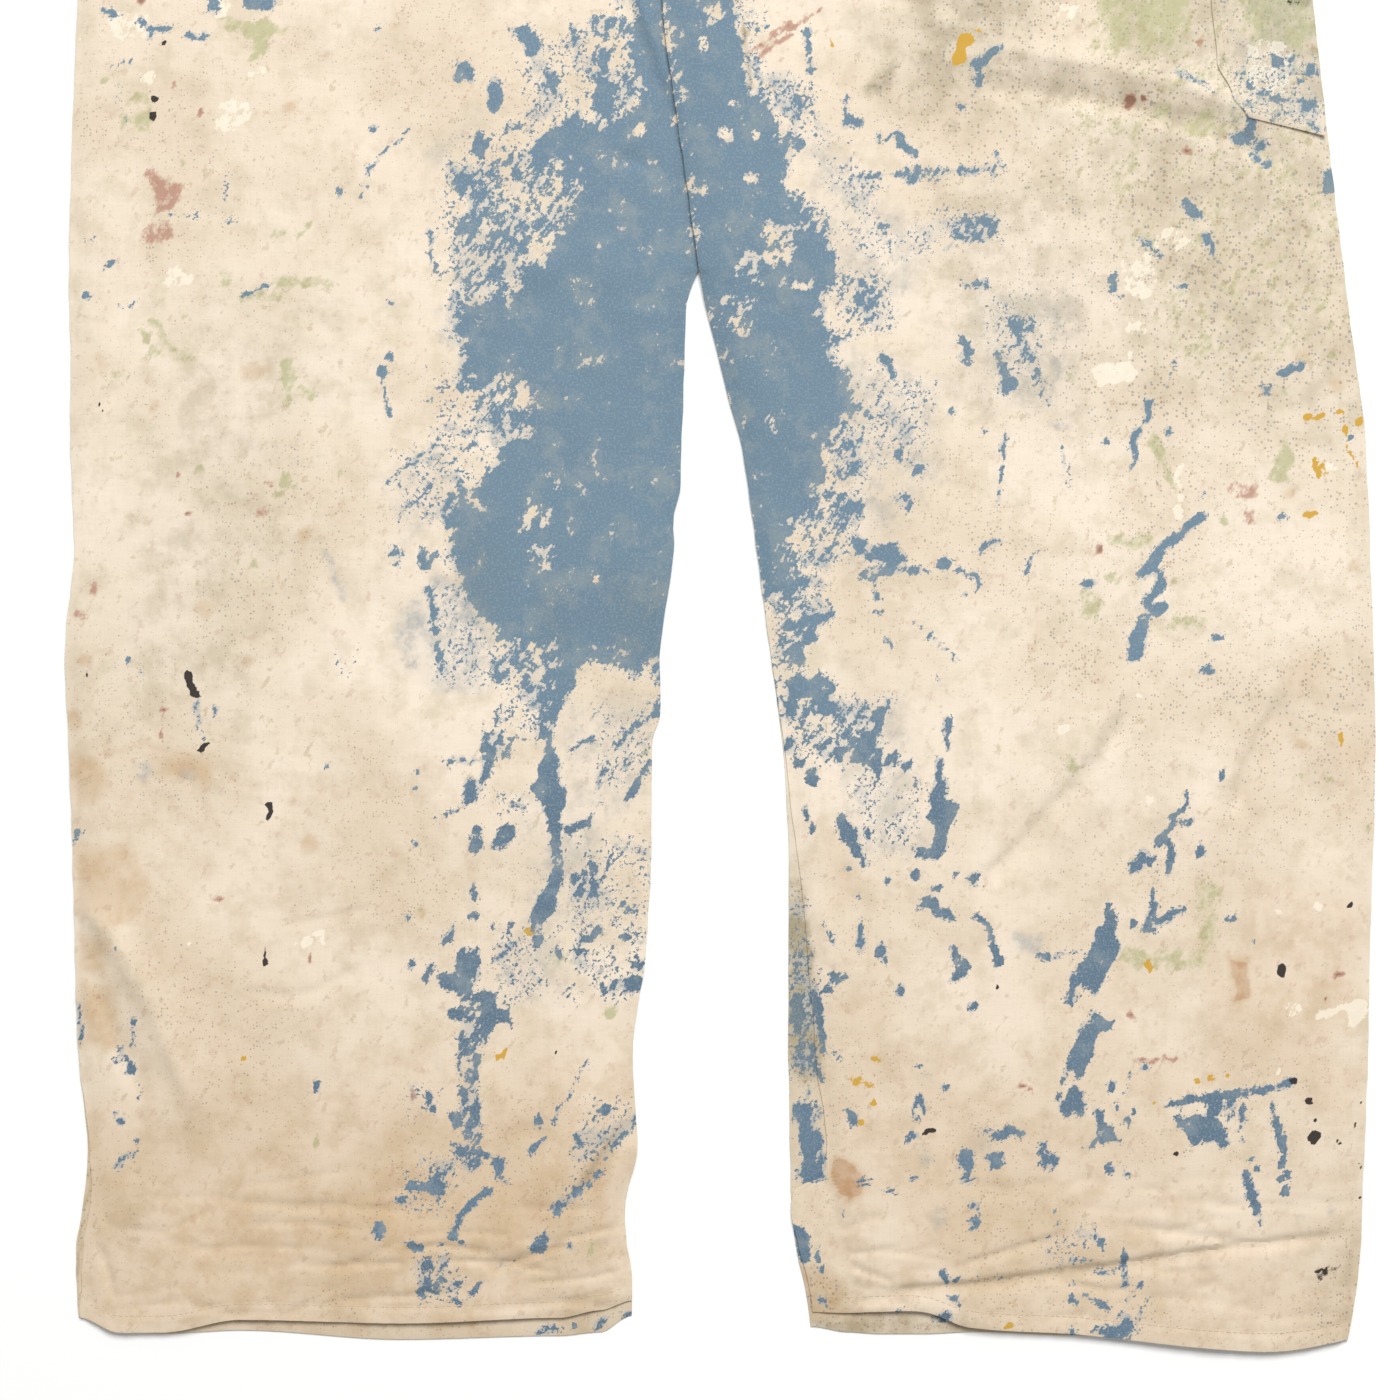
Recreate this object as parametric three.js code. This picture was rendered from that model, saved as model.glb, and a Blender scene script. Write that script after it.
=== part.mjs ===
// Painter's bib overalls in cotton drill, laid flat on their back with the front up.
// Millimetres. +X is to the viewer's right, +Y runs from the hems to the bib, +Z is up from the floor.
// Left and right are the wearer's, so the left leg is on the +X side.
import * as THREE from "three";

// Cloth
const CLOTH = 1.2;
const DOUBLE_CLOTH = 2;
const SEAM_GAP = 0.3;
const LYING_GAP = 0.4;
const HEM_DEPTH = 11;
const HEM_EXTRA = 0.6;

// Places along the garment, measured up from the hems
const LEGS_PART = 567;
const CROTCH = 653;
const WAIST = 956;
const BAND_WIDTH = 40;
const BIB_BOTTOM = WAIST + BAND_WIDTH + 2 * SEAM_GAP;
const BIB_TOP = BIB_BOTTOM + 270;
const BACK_TOP = 1290;
const STRAP_FOLD = 1426;
const MIDDLE_X = -4;

// How a laid leg rounds off at its folded edges and settles at its hem
const EDGE_ROUND = 15;
const HEM_SETTLE = 70;

// The fly: the left front lies over the right front, and slack cloth makes a wedge under it
const FLY_OVERLAP = 8;
const FLY_SPREAD = 75;
const FLY_LIFT = 3.4;
const WEDGE_HEIGHT = 1.9;
const WEDGE_SPREAD = 0.22;
const WEDGE_WIDEST = 34;

// Colours of the finished cloth and buttons
const drill = new THREE.MeshStandardMaterial({ color: 0xefdec7, roughness: 0.95, metalness: 0 });
const worn = new THREE.MeshStandardMaterial({ color: 0xdcc7ab, roughness: 0.95, metalness: 0 });
const horn = new THREE.MeshStandardMaterial({ color: 0xd8cdb8, roughness: 0.45, metalness: 0 });

// One row for each section of a leg: where its outer and inner folded edges are, how far the back
// turns over to the front at each edge, and how high the front stands off the back. Sections above
// the parting of the legs have no inner edge of their own.
const RIGHT_SECTIONS = [
  { y: 0, outer: -336, inner: -37, outerTurn: 1, innerTurn: 0, slack: 1.6 },
  { y: 22, outer: -337, inner: -37, outerTurn: 3, innerTurn: 0, slack: 2 },
  { y: 49, outer: -337, inner: -40, outerTurn: 4, innerTurn: 0, slack: 2.4 },
  { y: 76, outer: -333, inner: -40, outerTurn: 4, innerTurn: 0, slack: 2.6 },
  { y: 103, outer: -331, inner: -34, outerTurn: 1, innerTurn: 0, slack: 2.8 },
  { y: 157, outer: -336, inner: -36, outerTurn: 0, innerTurn: 0, slack: 3 },
  { y: 265, outer: -339, inner: -30, outerTurn: 0, innerTurn: 0, slack: 2.8 },
  { y: 373, outer: -343, inner: -21, outerTurn: 0, innerTurn: 0, slack: 2.6 },
  { y: 427, outer: -338, inner: -15, outerTurn: 0, innerTurn: 0, slack: 2.6 },
  { y: 481, outer: -340, inner: -11, outerTurn: 0, innerTurn: 0, slack: 2.6 },
  { y: 545, outer: -340, inner: -9, outerTurn: 0, innerTurn: 0, slack: 2.8 },
  { y: LEGS_PART, outer: -341, outerTurn: 0, slack: 2.8 },
  { y: CROTCH, outer: -339, outerTurn: 0, slack: 2.8 },
  { y: 724, outer: -336, outerTurn: 0, slack: 2.6 },
  { y: 800, outer: -329, outerTurn: 0, slack: 2.4 },
  { y: 880, outer: -316, outerTurn: 0, slack: 2.2 },
  { y: WAIST, outer: -300, outerTurn: 0, slack: 2 },
];
const LEFT_SECTIONS = [
  { y: 0, outer: 350, inner: 60, outerTurn: 0, innerTurn: 24, slack: 2.2 },
  { y: 22, outer: 354, inner: 57, outerTurn: 0, innerTurn: 26, slack: 2.4 },
  { y: 49, outer: 357, inner: 52, outerTurn: 0, innerTurn: 25, slack: 2.6 },
  { y: 86, outer: 358, inner: 49, outerTurn: 0, innerTurn: 20, slack: 2.8 },
  { y: 151, outer: 361, inner: 48, outerTurn: 0, innerTurn: 16, slack: 3 },
  { y: 211, outer: 362, inner: 48, outerTurn: 0, innerTurn: 7, slack: 2.8 },
  { y: 265, outer: 364, inner: 48, outerTurn: 0, innerTurn: 2, slack: 2.6 },
  { y: 319, outer: 365, inner: 45, outerTurn: 0, innerTurn: 1, slack: 2.6 },
  { y: 373, outer: 364, inner: 38, outerTurn: 0, innerTurn: 0, slack: 2.6 },
  { y: 481, outer: 360, inner: 23, outerTurn: 0, innerTurn: 0, slack: 2.6 },
  { y: 535, outer: 353, inner: 10, outerTurn: 0, innerTurn: 0, slack: 2.8 },
  { y: LEGS_PART, outer: 349, outerTurn: 0, slack: 2.8 },
  { y: CROTCH, outer: 339, outerTurn: 0, slack: 2.8 },
  { y: 724, outer: 331, outerTurn: 0, slack: 2.6 },
  { y: 800, outer: 322, outerTurn: 0, slack: 2.4 },
  { y: 880, outer: 308, outerTurn: 0, slack: 2.2 },
  { y: WAIST, outer: 294, outerTurn: 0, slack: 2 },
];

// The line from where the legs part, up the fly, to the waist. Both legs' inner edges follow it there.
const FLY_LINE = [
  { y: LEGS_PART, x: -2 },
  { y: CROTCH, x: -11.5 },
  { y: 724, x: -20.5 },
  { y: 800, x: -18.5 },
  { y: 880, x: -12.5 },
  { y: WAIST, x: -7.5 },
];

// Where each hem's edge lies along its width: the front hems ride up and show the back hems.
const RIGHT_HEM = [
  { x: -336, front: 12, back: 12 },
  { x: -313, front: 4, back: 4 },
  { x: -291, front: 4, back: 3 },
  { x: -248, front: 11, back: 5 },
  { x: -162, front: 9, back: 0 },
  { x: -76, front: 12, back: 2 },
  { x: -54, front: 16, back: 4 },
  { x: -37, front: 21, back: 13 },
];
const LEFT_HEM = [
  { x: 60, front: 19, back: 7 },
  { x: 97, front: 17, back: 3 },
  { x: 122, front: 15, back: 3 },
  { x: 145, front: 7, back: 4 },
  { x: 205, front: 3, back: 2 },
  { x: 270, front: -4, back: -4 },
  { x: 313, front: -6, back: -6 },
  { x: 350, front: 0, back: 0 },
];

// The largest folds of each front: a soft ridge from one point to another.
const RIGHT_FOLDS = [
  { x0: -332, y0: 226, x1: -262, y1: 112, width: 36, height: 3.4 },
  { x0: -44, y0: 132, x1: -92, y1: 58, width: 30, height: 2.2 },
  { x0: -190, y0: 52, x1: -44, y1: 46, width: 22, height: 1.6 },
  { x0: -70, y0: 716, x1: -130, y1: 640, width: 46, height: 2 },
];
const LEFT_FOLDS = [
  { x0: 240, y0: 360, x1: 182, y1: 276, width: 34, height: 3 },
  { x0: 172, y0: 690, x1: 262, y1: 668, width: 40, height: 3.4 },
  { x0: 76, y0: 738, x1: 168, y1: 722, width: 44, height: 3 },
  { x0: 176, y0: 54, x1: 346, y1: 60, width: 24, height: 1.8 },
];

// The tool pocket's inner edge, on the left front beside the outer fold.
const POCKET_SECTIONS = [
  { y: 660, inner: 295 },
  { y: 672, inner: 287 },
  { y: 690, inner: 279 },
  { y: 724, inner: 276 },
  { y: 870, inner: 268 },
];
const POCKET_BOTTOM = 660;
const POCKET_TOP = 870;
const POCKET_TILT = 10;
const POCKET_EDGE = 4;
const POCKET_HEM = 22;

// Half widths of the bib and of the upper back, which both narrow towards the shoulders.
const BIB_SECTIONS = [
  { y: BIB_BOTTOM, half: 205, low: 3.2 },
  { y: 1030, half: 181, low: 3.4 },
  { y: 1080, half: 163, low: 3.6 },
  { y: 1160, half: 150, low: 3.6 },
  { y: BIB_TOP, half: 142, low: 3.6 },
];
const BACK_SECTIONS = [
  { y: WAIST, half: 297 },
  { y: 996, half: 291 },
  { y: 1035, half: 246 },
  { y: 1090, half: 192 },
  { y: 1160, half: 142 },
  { y: 1230, half: 108 },
  { y: BACK_TOP, half: 92 },
];
const BIB_HEM = 24;
const BIB_HEM_EXTRA = 0.4;
const BAND_LOW = 3;
const BAND_TAPER = 3;

// Straps and buttons
const STRAP_WIDTH = 38;
const STRAP_LOW = 5.5;
const STRAP_START = { x: 56, y: 1244 };
const STRAP_TURN = { x: 92, y: STRAP_FOLD };
const STRAP_END = { x: 113, y: 1218 };
const BUTTON_RADIUS = 9;
const BUTTON_THICKNESS = 3.2;
const BUTTON_RIM = 1.8;
const STRAP_BUTTON = { x: 112, y: 1232 };
const SIDE_BUTTON_INSET = 22;
const SIDE_BUTTON_ROWS = [WAIST - 52, WAIST + BAND_WIDTH / 2];

// A smooth curve through the rows that give a column, as a function of the table's key column.
function column(rows, key, name) {
  const given = rows.filter((row) => name in row);
  const places = given.map((row) => row[key]);
  const values = given.map((row) => row[name]);
  const curve = new THREE.CubicInterpolant(places, values, 1);
  return (at) => curve.evaluate(THREE.MathUtils.clamp(at, places[0], places.at(-1)))[0];
}

const smooth = THREE.MathUtils.smoothstep;

// Evenly spaced steps from 0 to 1, drawn a little closer together at both ends.
function edgeSteps(count) {
  return Array.from({ length: count + 1 }, (_, i) => {
    const even = i / count;
    return 0.5 * even + 0.25 * (1 - Math.cos(Math.PI * even));
  });
}

// Steps from 0 to 1 that start closer together.
function hemSteps(count) {
  return Array.from({ length: count + 1 }, (_, i) => (i / count) ** 1.15);
}

const evenSteps = (count) => Array.from({ length: count + 1 }, (_, i) => i / count);

// A closed wall over a grid: point(u, v) gives x, y, the lower face's z and the thickness.
function wall(across, along, point) {
  const columns = across.length;
  const layer = columns * along.length;
  const lower = [];
  const upper = [];
  for (const v of along) {
    for (const u of across) {
      const { x, y, z, thick } = point(u, v);
      lower.push(x, y, z);
      upper.push(x, y, z + thick);
    }
  }
  const index = [];
  const quad = (a, b, c, d) => index.push(a, b, c, a, c, d);
  for (let j = 0; j + 1 < along.length; j++) {
    for (let i = 0; i + 1 < columns; i++) {
      const at = j * columns + i;
      quad(layer + at, layer + at + 1, layer + at + columns + 1, layer + at + columns);
      quad(at, at + columns, at + columns + 1, at + 1);
    }
  }
  const rim = [];
  for (let i = 0; i < columns; i++) rim.push(i);
  for (let j = 1; j < along.length; j++) rim.push(j * columns + columns - 1);
  for (let i = columns - 2; i >= 0; i--) rim.push((along.length - 1) * columns + i);
  for (let j = along.length - 2; j > 0; j--) rim.push(j * columns);
  rim.forEach((a, k) => {
    const b = rim[(k + 1) % rim.length];
    quad(a, b, layer + b, layer + a);
  });
  return new THREE.BufferGeometry()
    .setAttribute("position", new THREE.Float32BufferAttribute([...lower, ...upper], 3))
    .setIndex(index);
}

const garment = new THREE.Group();

function sew(name, geometry, material) {
  const mesh = new THREE.Mesh(geometry, material.clone());
  mesh.name = name;
  garment.add(mesh);
}

// How much a fold lifts the cloth at a place: highest on its ridge, fading across it and at its ends.
function foldLift(fold, x, y) {
  const dx = fold.x1 - fold.x0;
  const dy = fold.y1 - fold.y0;
  const length = Math.hypot(dx, dy);
  const along = ((x - fold.x0) * dx + (y - fold.y0) * dy) / length ** 2;
  const off = Math.abs((x - fold.x0) * dy - (y - fold.y0) * dx) / length;
  const ends = smooth(along, -0.2, 0.25) * (1 - smooth(along, 0.75, 1.2));
  return fold.height * ends * (1 - smooth(off, 0, fold.width));
}

// A leg's curves, gathered from its tables. side is -1 for the right leg and +1 for the left.
function legOf(side, sections, hem, folds) {
  const curve = (name) => column(sections, "y", name);
  const innerEdge = curve("inner");
  const flyLine = column(FLY_LINE, "y", "x");
  return {
    side,
    folds,
    outer: curve("outer"),
    inner: (y) => (y < LEGS_PART ? innerEdge(y) : flyLine(y) + (side * SEAM_GAP) / 2),
    outerTurn: curve("outerTurn"),
    innerTurn: curve("innerTurn"),
    slack: curve("slack"),
    hemFront: column(hem, "x", "front"),
    hemBack: column(hem, "x", "back"),
  };
}

// The left and right edges of a leg's front at a section, with the right front reaching under the fly.
function frontEdges(leg, y) {
  const under = leg.side < 0 ? FLY_OVERLAP * smooth(y, LEGS_PART + 4, CROTCH) : 0;
  const outer = leg.outer(y) - leg.side * leg.outerTurn(y);
  const inner = leg.inner(y) + leg.side * leg.innerTurn(y) + under;
  return leg.side < 0 ? [outer, inner] : [inner, outer];
}

function backEdges(leg, y) {
  const edges = [leg.outer(y), leg.inner(y)];
  return leg.side < 0 ? edges : edges.reverse();
}

// How far the fly raises a front: the right front has the slack wedge, and the left front clears it.
function flyLift(leg, fromInner, y) {
  const rise = smooth(y, CROTCH - 10, CROTCH + 60) * (1 - 0.5 * smooth(y, 820, WAIST));
  if (leg.side < 0) {
    const wedge = Math.min((y - CROTCH) * WEDGE_SPREAD, WEDGE_WIDEST) + FLY_OVERLAP;
    return y > CROTCH ? WEDGE_HEIGHT * rise * (1 - smooth(fromInner, wedge, wedge + 14)) : 0;
  }
  const lift = FLY_LIFT * smooth(y, LEGS_PART - 40, LEGS_PART + 30) + WEDGE_HEIGHT * rise;
  return lift * (1 - smooth(fromInner, FLY_OVERLAP, FLY_SPREAD));
}

// A quarter-round rise from 0 at a folded edge to 1 where the leg lies flat.
function edgeRise(distance) {
  const t = THREE.MathUtils.clamp(distance / EDGE_ROUND, 0, 1);
  return Math.sqrt(1 - (1 - t) ** 2);
}

// The lower face of a leg's front at a place on it.
function frontLow(leg, x, y) {
  const [left, right] = frontEdges(leg, y);
  const fromLeft = x - left;
  const fromRight = right - x;
  const fromInner = leg.side < 0 ? fromRight : fromLeft;
  const pressed = leg.side < 0 ? smooth(y, LEGS_PART - 30, CROTCH) * (1 - smooth(fromInner, 14, 70)) : 0;
  const rise = edgeRise(fromLeft) * edgeRise(fromRight);
  const folds = leg.folds.reduce((sum, fold) => sum + foldLift(fold, x, y), 0);
  const lying = (leg.slack(y) * (1 - 0.7 * pressed) + folds) * rise;
  return CLOTH + SEAM_GAP + lying + flyLift(leg, fromInner, y);
}

const hemThickness = (y) => CLOTH + HEM_EXTRA * (1 - smooth(y, HEM_DEPTH, HEM_DEPTH + 6));
const hemFade = (y) => 1 - smooth(y, 0, HEM_SETTLE);

function legFront(leg) {
  return wall(edgeSteps(16), hemSteps(40), (u, v) => {
    const section = v * WAIST;
    const [left, right] = frontEdges(leg, section);
    const x = THREE.MathUtils.lerp(left, right, u);
    const y = section + leg.hemFront(x) * hemFade(section);
    return { x, y, z: frontLow(leg, x, section), thick: hemThickness(section) };
  });
}

function legBack(leg) {
  return wall(edgeSteps(8), hemSteps(24), (u, v) => {
    const section = v * WAIST;
    const [left, right] = backEdges(leg, section);
    const x = THREE.MathUtils.lerp(left, right, u);
    const y = section + leg.hemBack(x) * hemFade(section);
    return { x, y, z: 0, thick: CLOTH };
  });
}

// A patch on the left front, caught in the outer fold, with a turned hem at its mouth.
function toolPocket(leg) {
  const inner = column(POCKET_SECTIONS, "y", "inner");
  return wall(evenSteps(6), evenSteps(14), (u, v) => {
    const section = THREE.MathUtils.lerp(POCKET_BOTTOM, POCKET_TOP, v);
    const x = THREE.MathUtils.lerp(inner(section), leg.outer(section) - POCKET_EDGE, u);
    const y = section - POCKET_TILT * u * (1 - v);
    const hem = smooth(section, POCKET_TOP - POCKET_HEM - 6, POCKET_TOP - POCKET_HEM);
    return { x, y, z: frontLow(leg, x, y) + CLOTH + LYING_GAP, thick: CLOTH + HEM_EXTRA * hem };
  });
}

function waistband(rightLeg, leftLeg) {
  return wall(evenSteps(20), evenSteps(3), (u, v) => {
    const left = rightLeg.outer(WAIST) + BAND_TAPER * v;
    const right = leftLeg.outer(WAIST) - BAND_TAPER * v;
    const x = THREE.MathUtils.lerp(left, right, u);
    const y = WAIST + SEAM_GAP + BAND_WIDTH * v;
    return { x, y, z: BAND_LOW, thick: DOUBLE_CLOTH };
  });
}

function bib() {
  const half = column(BIB_SECTIONS, "y", "half");
  const low = column(BIB_SECTIONS, "y", "low");
  return wall(edgeSteps(12), evenSteps(14), (u, v) => {
    const y = THREE.MathUtils.lerp(BIB_BOTTOM, BIB_TOP, v);
    const x = MIDDLE_X + half(y) * (2 * u - 1);
    const hem = smooth(y, BIB_TOP - BIB_HEM - 8, BIB_TOP - BIB_HEM);
    return { x, y, z: low(y), thick: CLOTH + BIB_HEM_EXTRA * hem };
  });
}

function upperBack() {
  const half = column(BACK_SECTIONS, "y", "half");
  return wall(edgeSteps(10), evenSteps(14), (u, v) => {
    const y = THREE.MathUtils.lerp(WAIST + SEAM_GAP, BACK_TOP, v);
    return { x: MIDDLE_X + half(y) * (2 * u - 1), y, z: 0, thick: CLOTH };
  });
}

// A strap's middle line: sewn to the upper back, out along the floor, folded over, and back to the bib.
function strapLine(side) {
  const lowMiddle = DOUBLE_CLOTH / 2;
  const highMiddle = STRAP_LOW + DOUBLE_CLOTH / 2;
  const radius = (highMiddle - lowMiddle) / 2;
  const place = (from, to, t) => MIDDLE_X + side * THREE.MathUtils.lerp(from.x, to.x, t);
  const line = [];
  for (const t of evenSteps(10)) {
    const y = THREE.MathUtils.lerp(STRAP_START.y, STRAP_TURN.y, t);
    const overBack = CLOTH + SEAM_GAP;
    const z = lowMiddle + overBack * (1 - smooth(y, BACK_TOP + 4, BACK_TOP + 30));
    line.push(new THREE.Vector3(place(STRAP_START, STRAP_TURN, t), y, z));
  }
  for (const t of evenSteps(8).slice(1, -1)) {
    const turn = Math.PI * (t - 0.5);
    const y = STRAP_TURN.y + radius * Math.cos(turn);
    const z = lowMiddle + radius * (1 + Math.sin(turn));
    line.push(new THREE.Vector3(MIDDLE_X + side * STRAP_TURN.x, y, z));
  }
  for (const t of evenSteps(10)) {
    const y = THREE.MathUtils.lerp(STRAP_TURN.y, STRAP_END.y, t);
    line.push(new THREE.Vector3(place(STRAP_TURN, STRAP_END, t), y, highMiddle));
  }
  return line;
}

// A flat band along a line: each section lies across X, with its thickness square to the line.
function band(line, width, thickness) {
  const points = [];
  const index = [];
  line.forEach((middle, k) => {
    const before = line[Math.max(k - 1, 0)];
    const after = line[Math.min(k + 1, line.length - 1)];
    const normal = new THREE.Vector2(before.z - after.z, after.y - before.y).setLength(thickness / 2);
    for (const [across, out] of [[-1, -1], [1, -1], [1, 1], [-1, 1]]) {
      points.push(middle.x + (across * width) / 2, middle.y + out * normal.x, middle.z + out * normal.y);
    }
  });
  for (let k = 0; k + 1 < line.length; k++) {
    for (let side = 0; side < 4; side++) {
      const a = 4 * k + side;
      const b = 4 * k + ((side + 1) % 4);
      index.push(a, b + 4, b, a, a + 4, b + 4);
    }
  }
  const end = 4 * (line.length - 1);
  index.push(0, 1, 2, 0, 2, 3, end, end + 2, end + 1, end, end + 3, end + 2);
  return new THREE.BufferGeometry()
    .setAttribute("position", new THREE.Float32BufferAttribute(points, 3))
    .setIndex(index);
}

// A round sewn button with a raised rim, turned about its own axis and laid on what carries it.
function button(x, y, z) {
  const r = BUTTON_RADIUS;
  const profile = [
    new THREE.Vector2(0, 0),
    new THREE.Vector2(r - 1, 0),
    new THREE.Vector2(r, 1.2),
    new THREE.Vector2(r - 0.6, BUTTON_THICKNESS),
    new THREE.Vector2(r - BUTTON_RIM, BUTTON_THICKNESS),
    new THREE.Vector2(r - BUTTON_RIM - 1, BUTTON_THICKNESS - 1),
    new THREE.Vector2(0, BUTTON_THICKNESS - 1),
  ];
  const geometry = new THREE.LatheGeometry(profile, 16);
  geometry.rotateX(Math.PI / 2);
  geometry.translate(x, y, z);
  return geometry;
}

// The highest point of a leg's front under a button.
function restUnderButton(leg, x, y) {
  const offsets = [-BUTTON_RADIUS, 0, BUTTON_RADIUS];
  const heights = offsets.flatMap((dx) => offsets.map((dy) => frontLow(leg, x + dx, y + dy)));
  return Math.max(...heights) + CLOTH + LYING_GAP;
}

const rightLeg = legOf(-1, RIGHT_SECTIONS, RIGHT_HEM, RIGHT_FOLDS);
const leftLeg = legOf(1, LEFT_SECTIONS, LEFT_HEM, LEFT_FOLDS);

sew("leg_back_right", legBack(rightLeg), worn);
sew("leg_back_left", legBack(leftLeg), worn);
sew("leg_front_right", legFront(rightLeg), drill);
sew("leg_front_left", legFront(leftLeg), drill);
sew("tool_pocket", toolPocket(leftLeg), drill);
sew("waistband", waistband(rightLeg, leftLeg), drill);
sew("bib", bib(), drill);
sew("upper_back", upperBack(), worn);

for (const [name, side, leg] of [["right", -1, rightLeg], ["left", 1, leftLeg]]) {
  sew(`strap_${name}`, band(strapLine(side), STRAP_WIDTH, DOUBLE_CLOTH), drill);
  const strapTop = STRAP_LOW + DOUBLE_CLOTH + SEAM_GAP;
  sew(`strap_button_${name}`, button(MIDDLE_X + side * STRAP_BUTTON.x, STRAP_BUTTON.y, strapTop), horn);
  SIDE_BUTTON_ROWS.forEach((y, k) => {
    const onBand = y > WAIST;
    const x = leg.outer(Math.min(y, WAIST)) - side * SIDE_BUTTON_INSET;
    const z = onBand ? BAND_LOW + DOUBLE_CLOTH + SEAM_GAP : restUnderButton(leg, x, y);
    sew(`side_button_${name}_${k + 1}`, button(x, y, z), horn);
  });
}

// The origin is the middle of the whole garment's outline, on the floor.
const outline = new THREE.Box3().setFromObject(garment);
const middle = outline.getCenter(new THREE.Vector3());
garment.position.set(-middle.x, -middle.y, 0);

export default garment;
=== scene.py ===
"""Painter's bib overalls laid flat on their back, dressed as worn, paint spattered cotton drill.

Millimetres up from the hems are used for the cutting tables. The layout, on which the paint and the creases are
placed, is a square of 1400 units with its origin at the top left.
"""

import logging
import math
from dataclasses import dataclass, field
from enum import Enum

import bmesh
import bpy
import numpy as np
from mathutils import Matrix, Vector
from mathutils.bvhtree import BVHTree


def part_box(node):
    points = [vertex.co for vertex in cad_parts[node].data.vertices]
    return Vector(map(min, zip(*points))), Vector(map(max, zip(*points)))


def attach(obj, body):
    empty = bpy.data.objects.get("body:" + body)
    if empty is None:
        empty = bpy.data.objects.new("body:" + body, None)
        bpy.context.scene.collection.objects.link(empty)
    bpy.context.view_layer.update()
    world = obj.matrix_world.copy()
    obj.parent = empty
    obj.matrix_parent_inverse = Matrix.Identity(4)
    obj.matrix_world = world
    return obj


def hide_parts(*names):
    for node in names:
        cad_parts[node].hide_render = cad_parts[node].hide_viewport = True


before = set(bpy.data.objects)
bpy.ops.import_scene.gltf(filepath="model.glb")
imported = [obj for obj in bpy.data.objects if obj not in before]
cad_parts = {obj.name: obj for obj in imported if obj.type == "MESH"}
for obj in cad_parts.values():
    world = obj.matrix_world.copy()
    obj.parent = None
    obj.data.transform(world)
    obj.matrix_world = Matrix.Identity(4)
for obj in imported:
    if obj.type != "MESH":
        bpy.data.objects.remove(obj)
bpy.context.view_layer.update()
log = logging.getLogger("overalls")

Grid = np.ndarray
Socket = bpy.types.NodeSocket
Tree = bpy.types.NodeTree
Material = bpy.types.Material
Piece = bpy.types.Object

# The layout: one unit is 0.54 mm, and the hems lie near its row 1340.
UNIT = 0.54
LAYOUT_MIDDLE = 700.0
LAYOUT_HEM = 1340.0
LAYOUT_SIDE = 1400.0
# From the tables' origin, between the hems, to the middle of the whole garment.
SHIFT = (10.94, 711.9)

# Millimetres: the cloth's thickness, heights up from the hems, and the middle line of the upper garment.
CLOTH = 1.2
CROTCH = 653.0
LEGS_PART = 578.0
WAIST = 956.0
BAND_BOTTOM = WAIST + 0.3
MIDDLE_X = -4.0
# Every third row and column of a cloth's grid has a point on its underside.
UNDER_STEP = 3
# A length past every mark and crease.
FAR = 1e9


def smooth(value: Grid | float, start: float, end: float) -> Grid | float:
    """Rises smoothly from 0 at start to 1 at end."""
    t = np.clip((value - start) / (end - start), 0.0, 1.0)
    return t * t * (3.0 - 2.0 * t)


def layout_of(x: Grid, y: Grid) -> tuple[Grid, Grid]:
    """Turns millimetres right and up from the hems into places across and down the layout."""
    return x / UNIT + LAYOUT_MIDDLE, LAYOUT_HEM - y / UNIT


def metres(x: Grid, y: Grid, z: Grid) -> Grid:
    """Turns millimetres from the hems and the floor into rows of points of the shared frame."""
    return np.stack([(x - SHIFT[0]).ravel(), (y - SHIFT[1]).ravel(), z.ravel()], axis=1) / 1000.0


def waves(x: Grid, y: Grid, seed: int, count: int, shortest: float, longest: float) -> Grid:
    """Uneven ripples made of crossing waves, about 1 high.

    Args:
        x: places across.
        y: places along.
        seed: what the ripples are drawn from.
        count: how many waves cross.
        shortest: the shortest wave.
        longest: the longest wave.

    Returns:
        The ripples' height at each place.
    """
    rng = np.random.default_rng(seed)
    total = np.zeros_like(x)
    for _ in range(count):
        length = rng.uniform(shortest, longest)
        turn, phase = rng.uniform(0.0, 2.0 * math.pi, 2)
        total += np.sin(2.0 * math.pi * (x * math.cos(turn) + y * math.sin(turn)) / length + phase)
    return total / math.sqrt(count / 2.0)


@dataclass(frozen=True)
class Curve:
    """A smooth curve through the rows of a cutting table."""

    places: tuple[float, ...]
    values: tuple[float, ...]

    def __call__(self, at: Grid | float) -> Grid:
        """Evaluates the curve, held level past its ends.

        Args:
            at: the places to evaluate.

        Returns:
            The curve's value at each place.
        """
        p, v = np.array(self.places), np.array(self.values)
        slope = np.empty_like(v)
        slope[1:-1] = (v[2:] - v[:-2]) / (p[2:] - p[:-2])
        slope[0] = (v[1] - v[0]) / (p[1] - p[0])
        slope[-1] = (v[-1] - v[-2]) / (p[-1] - p[-2])
        x = np.clip(at, p[0], p[-1])
        k = np.clip(np.searchsorted(p, x, side="right") - 1, 0, len(p) - 2)
        step = p[k + 1] - p[k]
        t = (x - p[k]) / step
        rise = v[k + 1] - v[k]
        a = slope[k] * step - rise
        b = rise - slope[k + 1] * step
        return v[k] + t * rise + t * (1.0 - t) * (a * (1.0 - t) + b * t)


def table(rows: tuple[tuple[float | None, ...], ...], key: int, value: int) -> Curve:
    """The curve of one column of a table against another, through the rows that give it."""
    given = [row for row in rows if row[value] is not None]
    return Curve(tuple(row[key] for row in given), tuple(row[value] for row in given))


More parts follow.
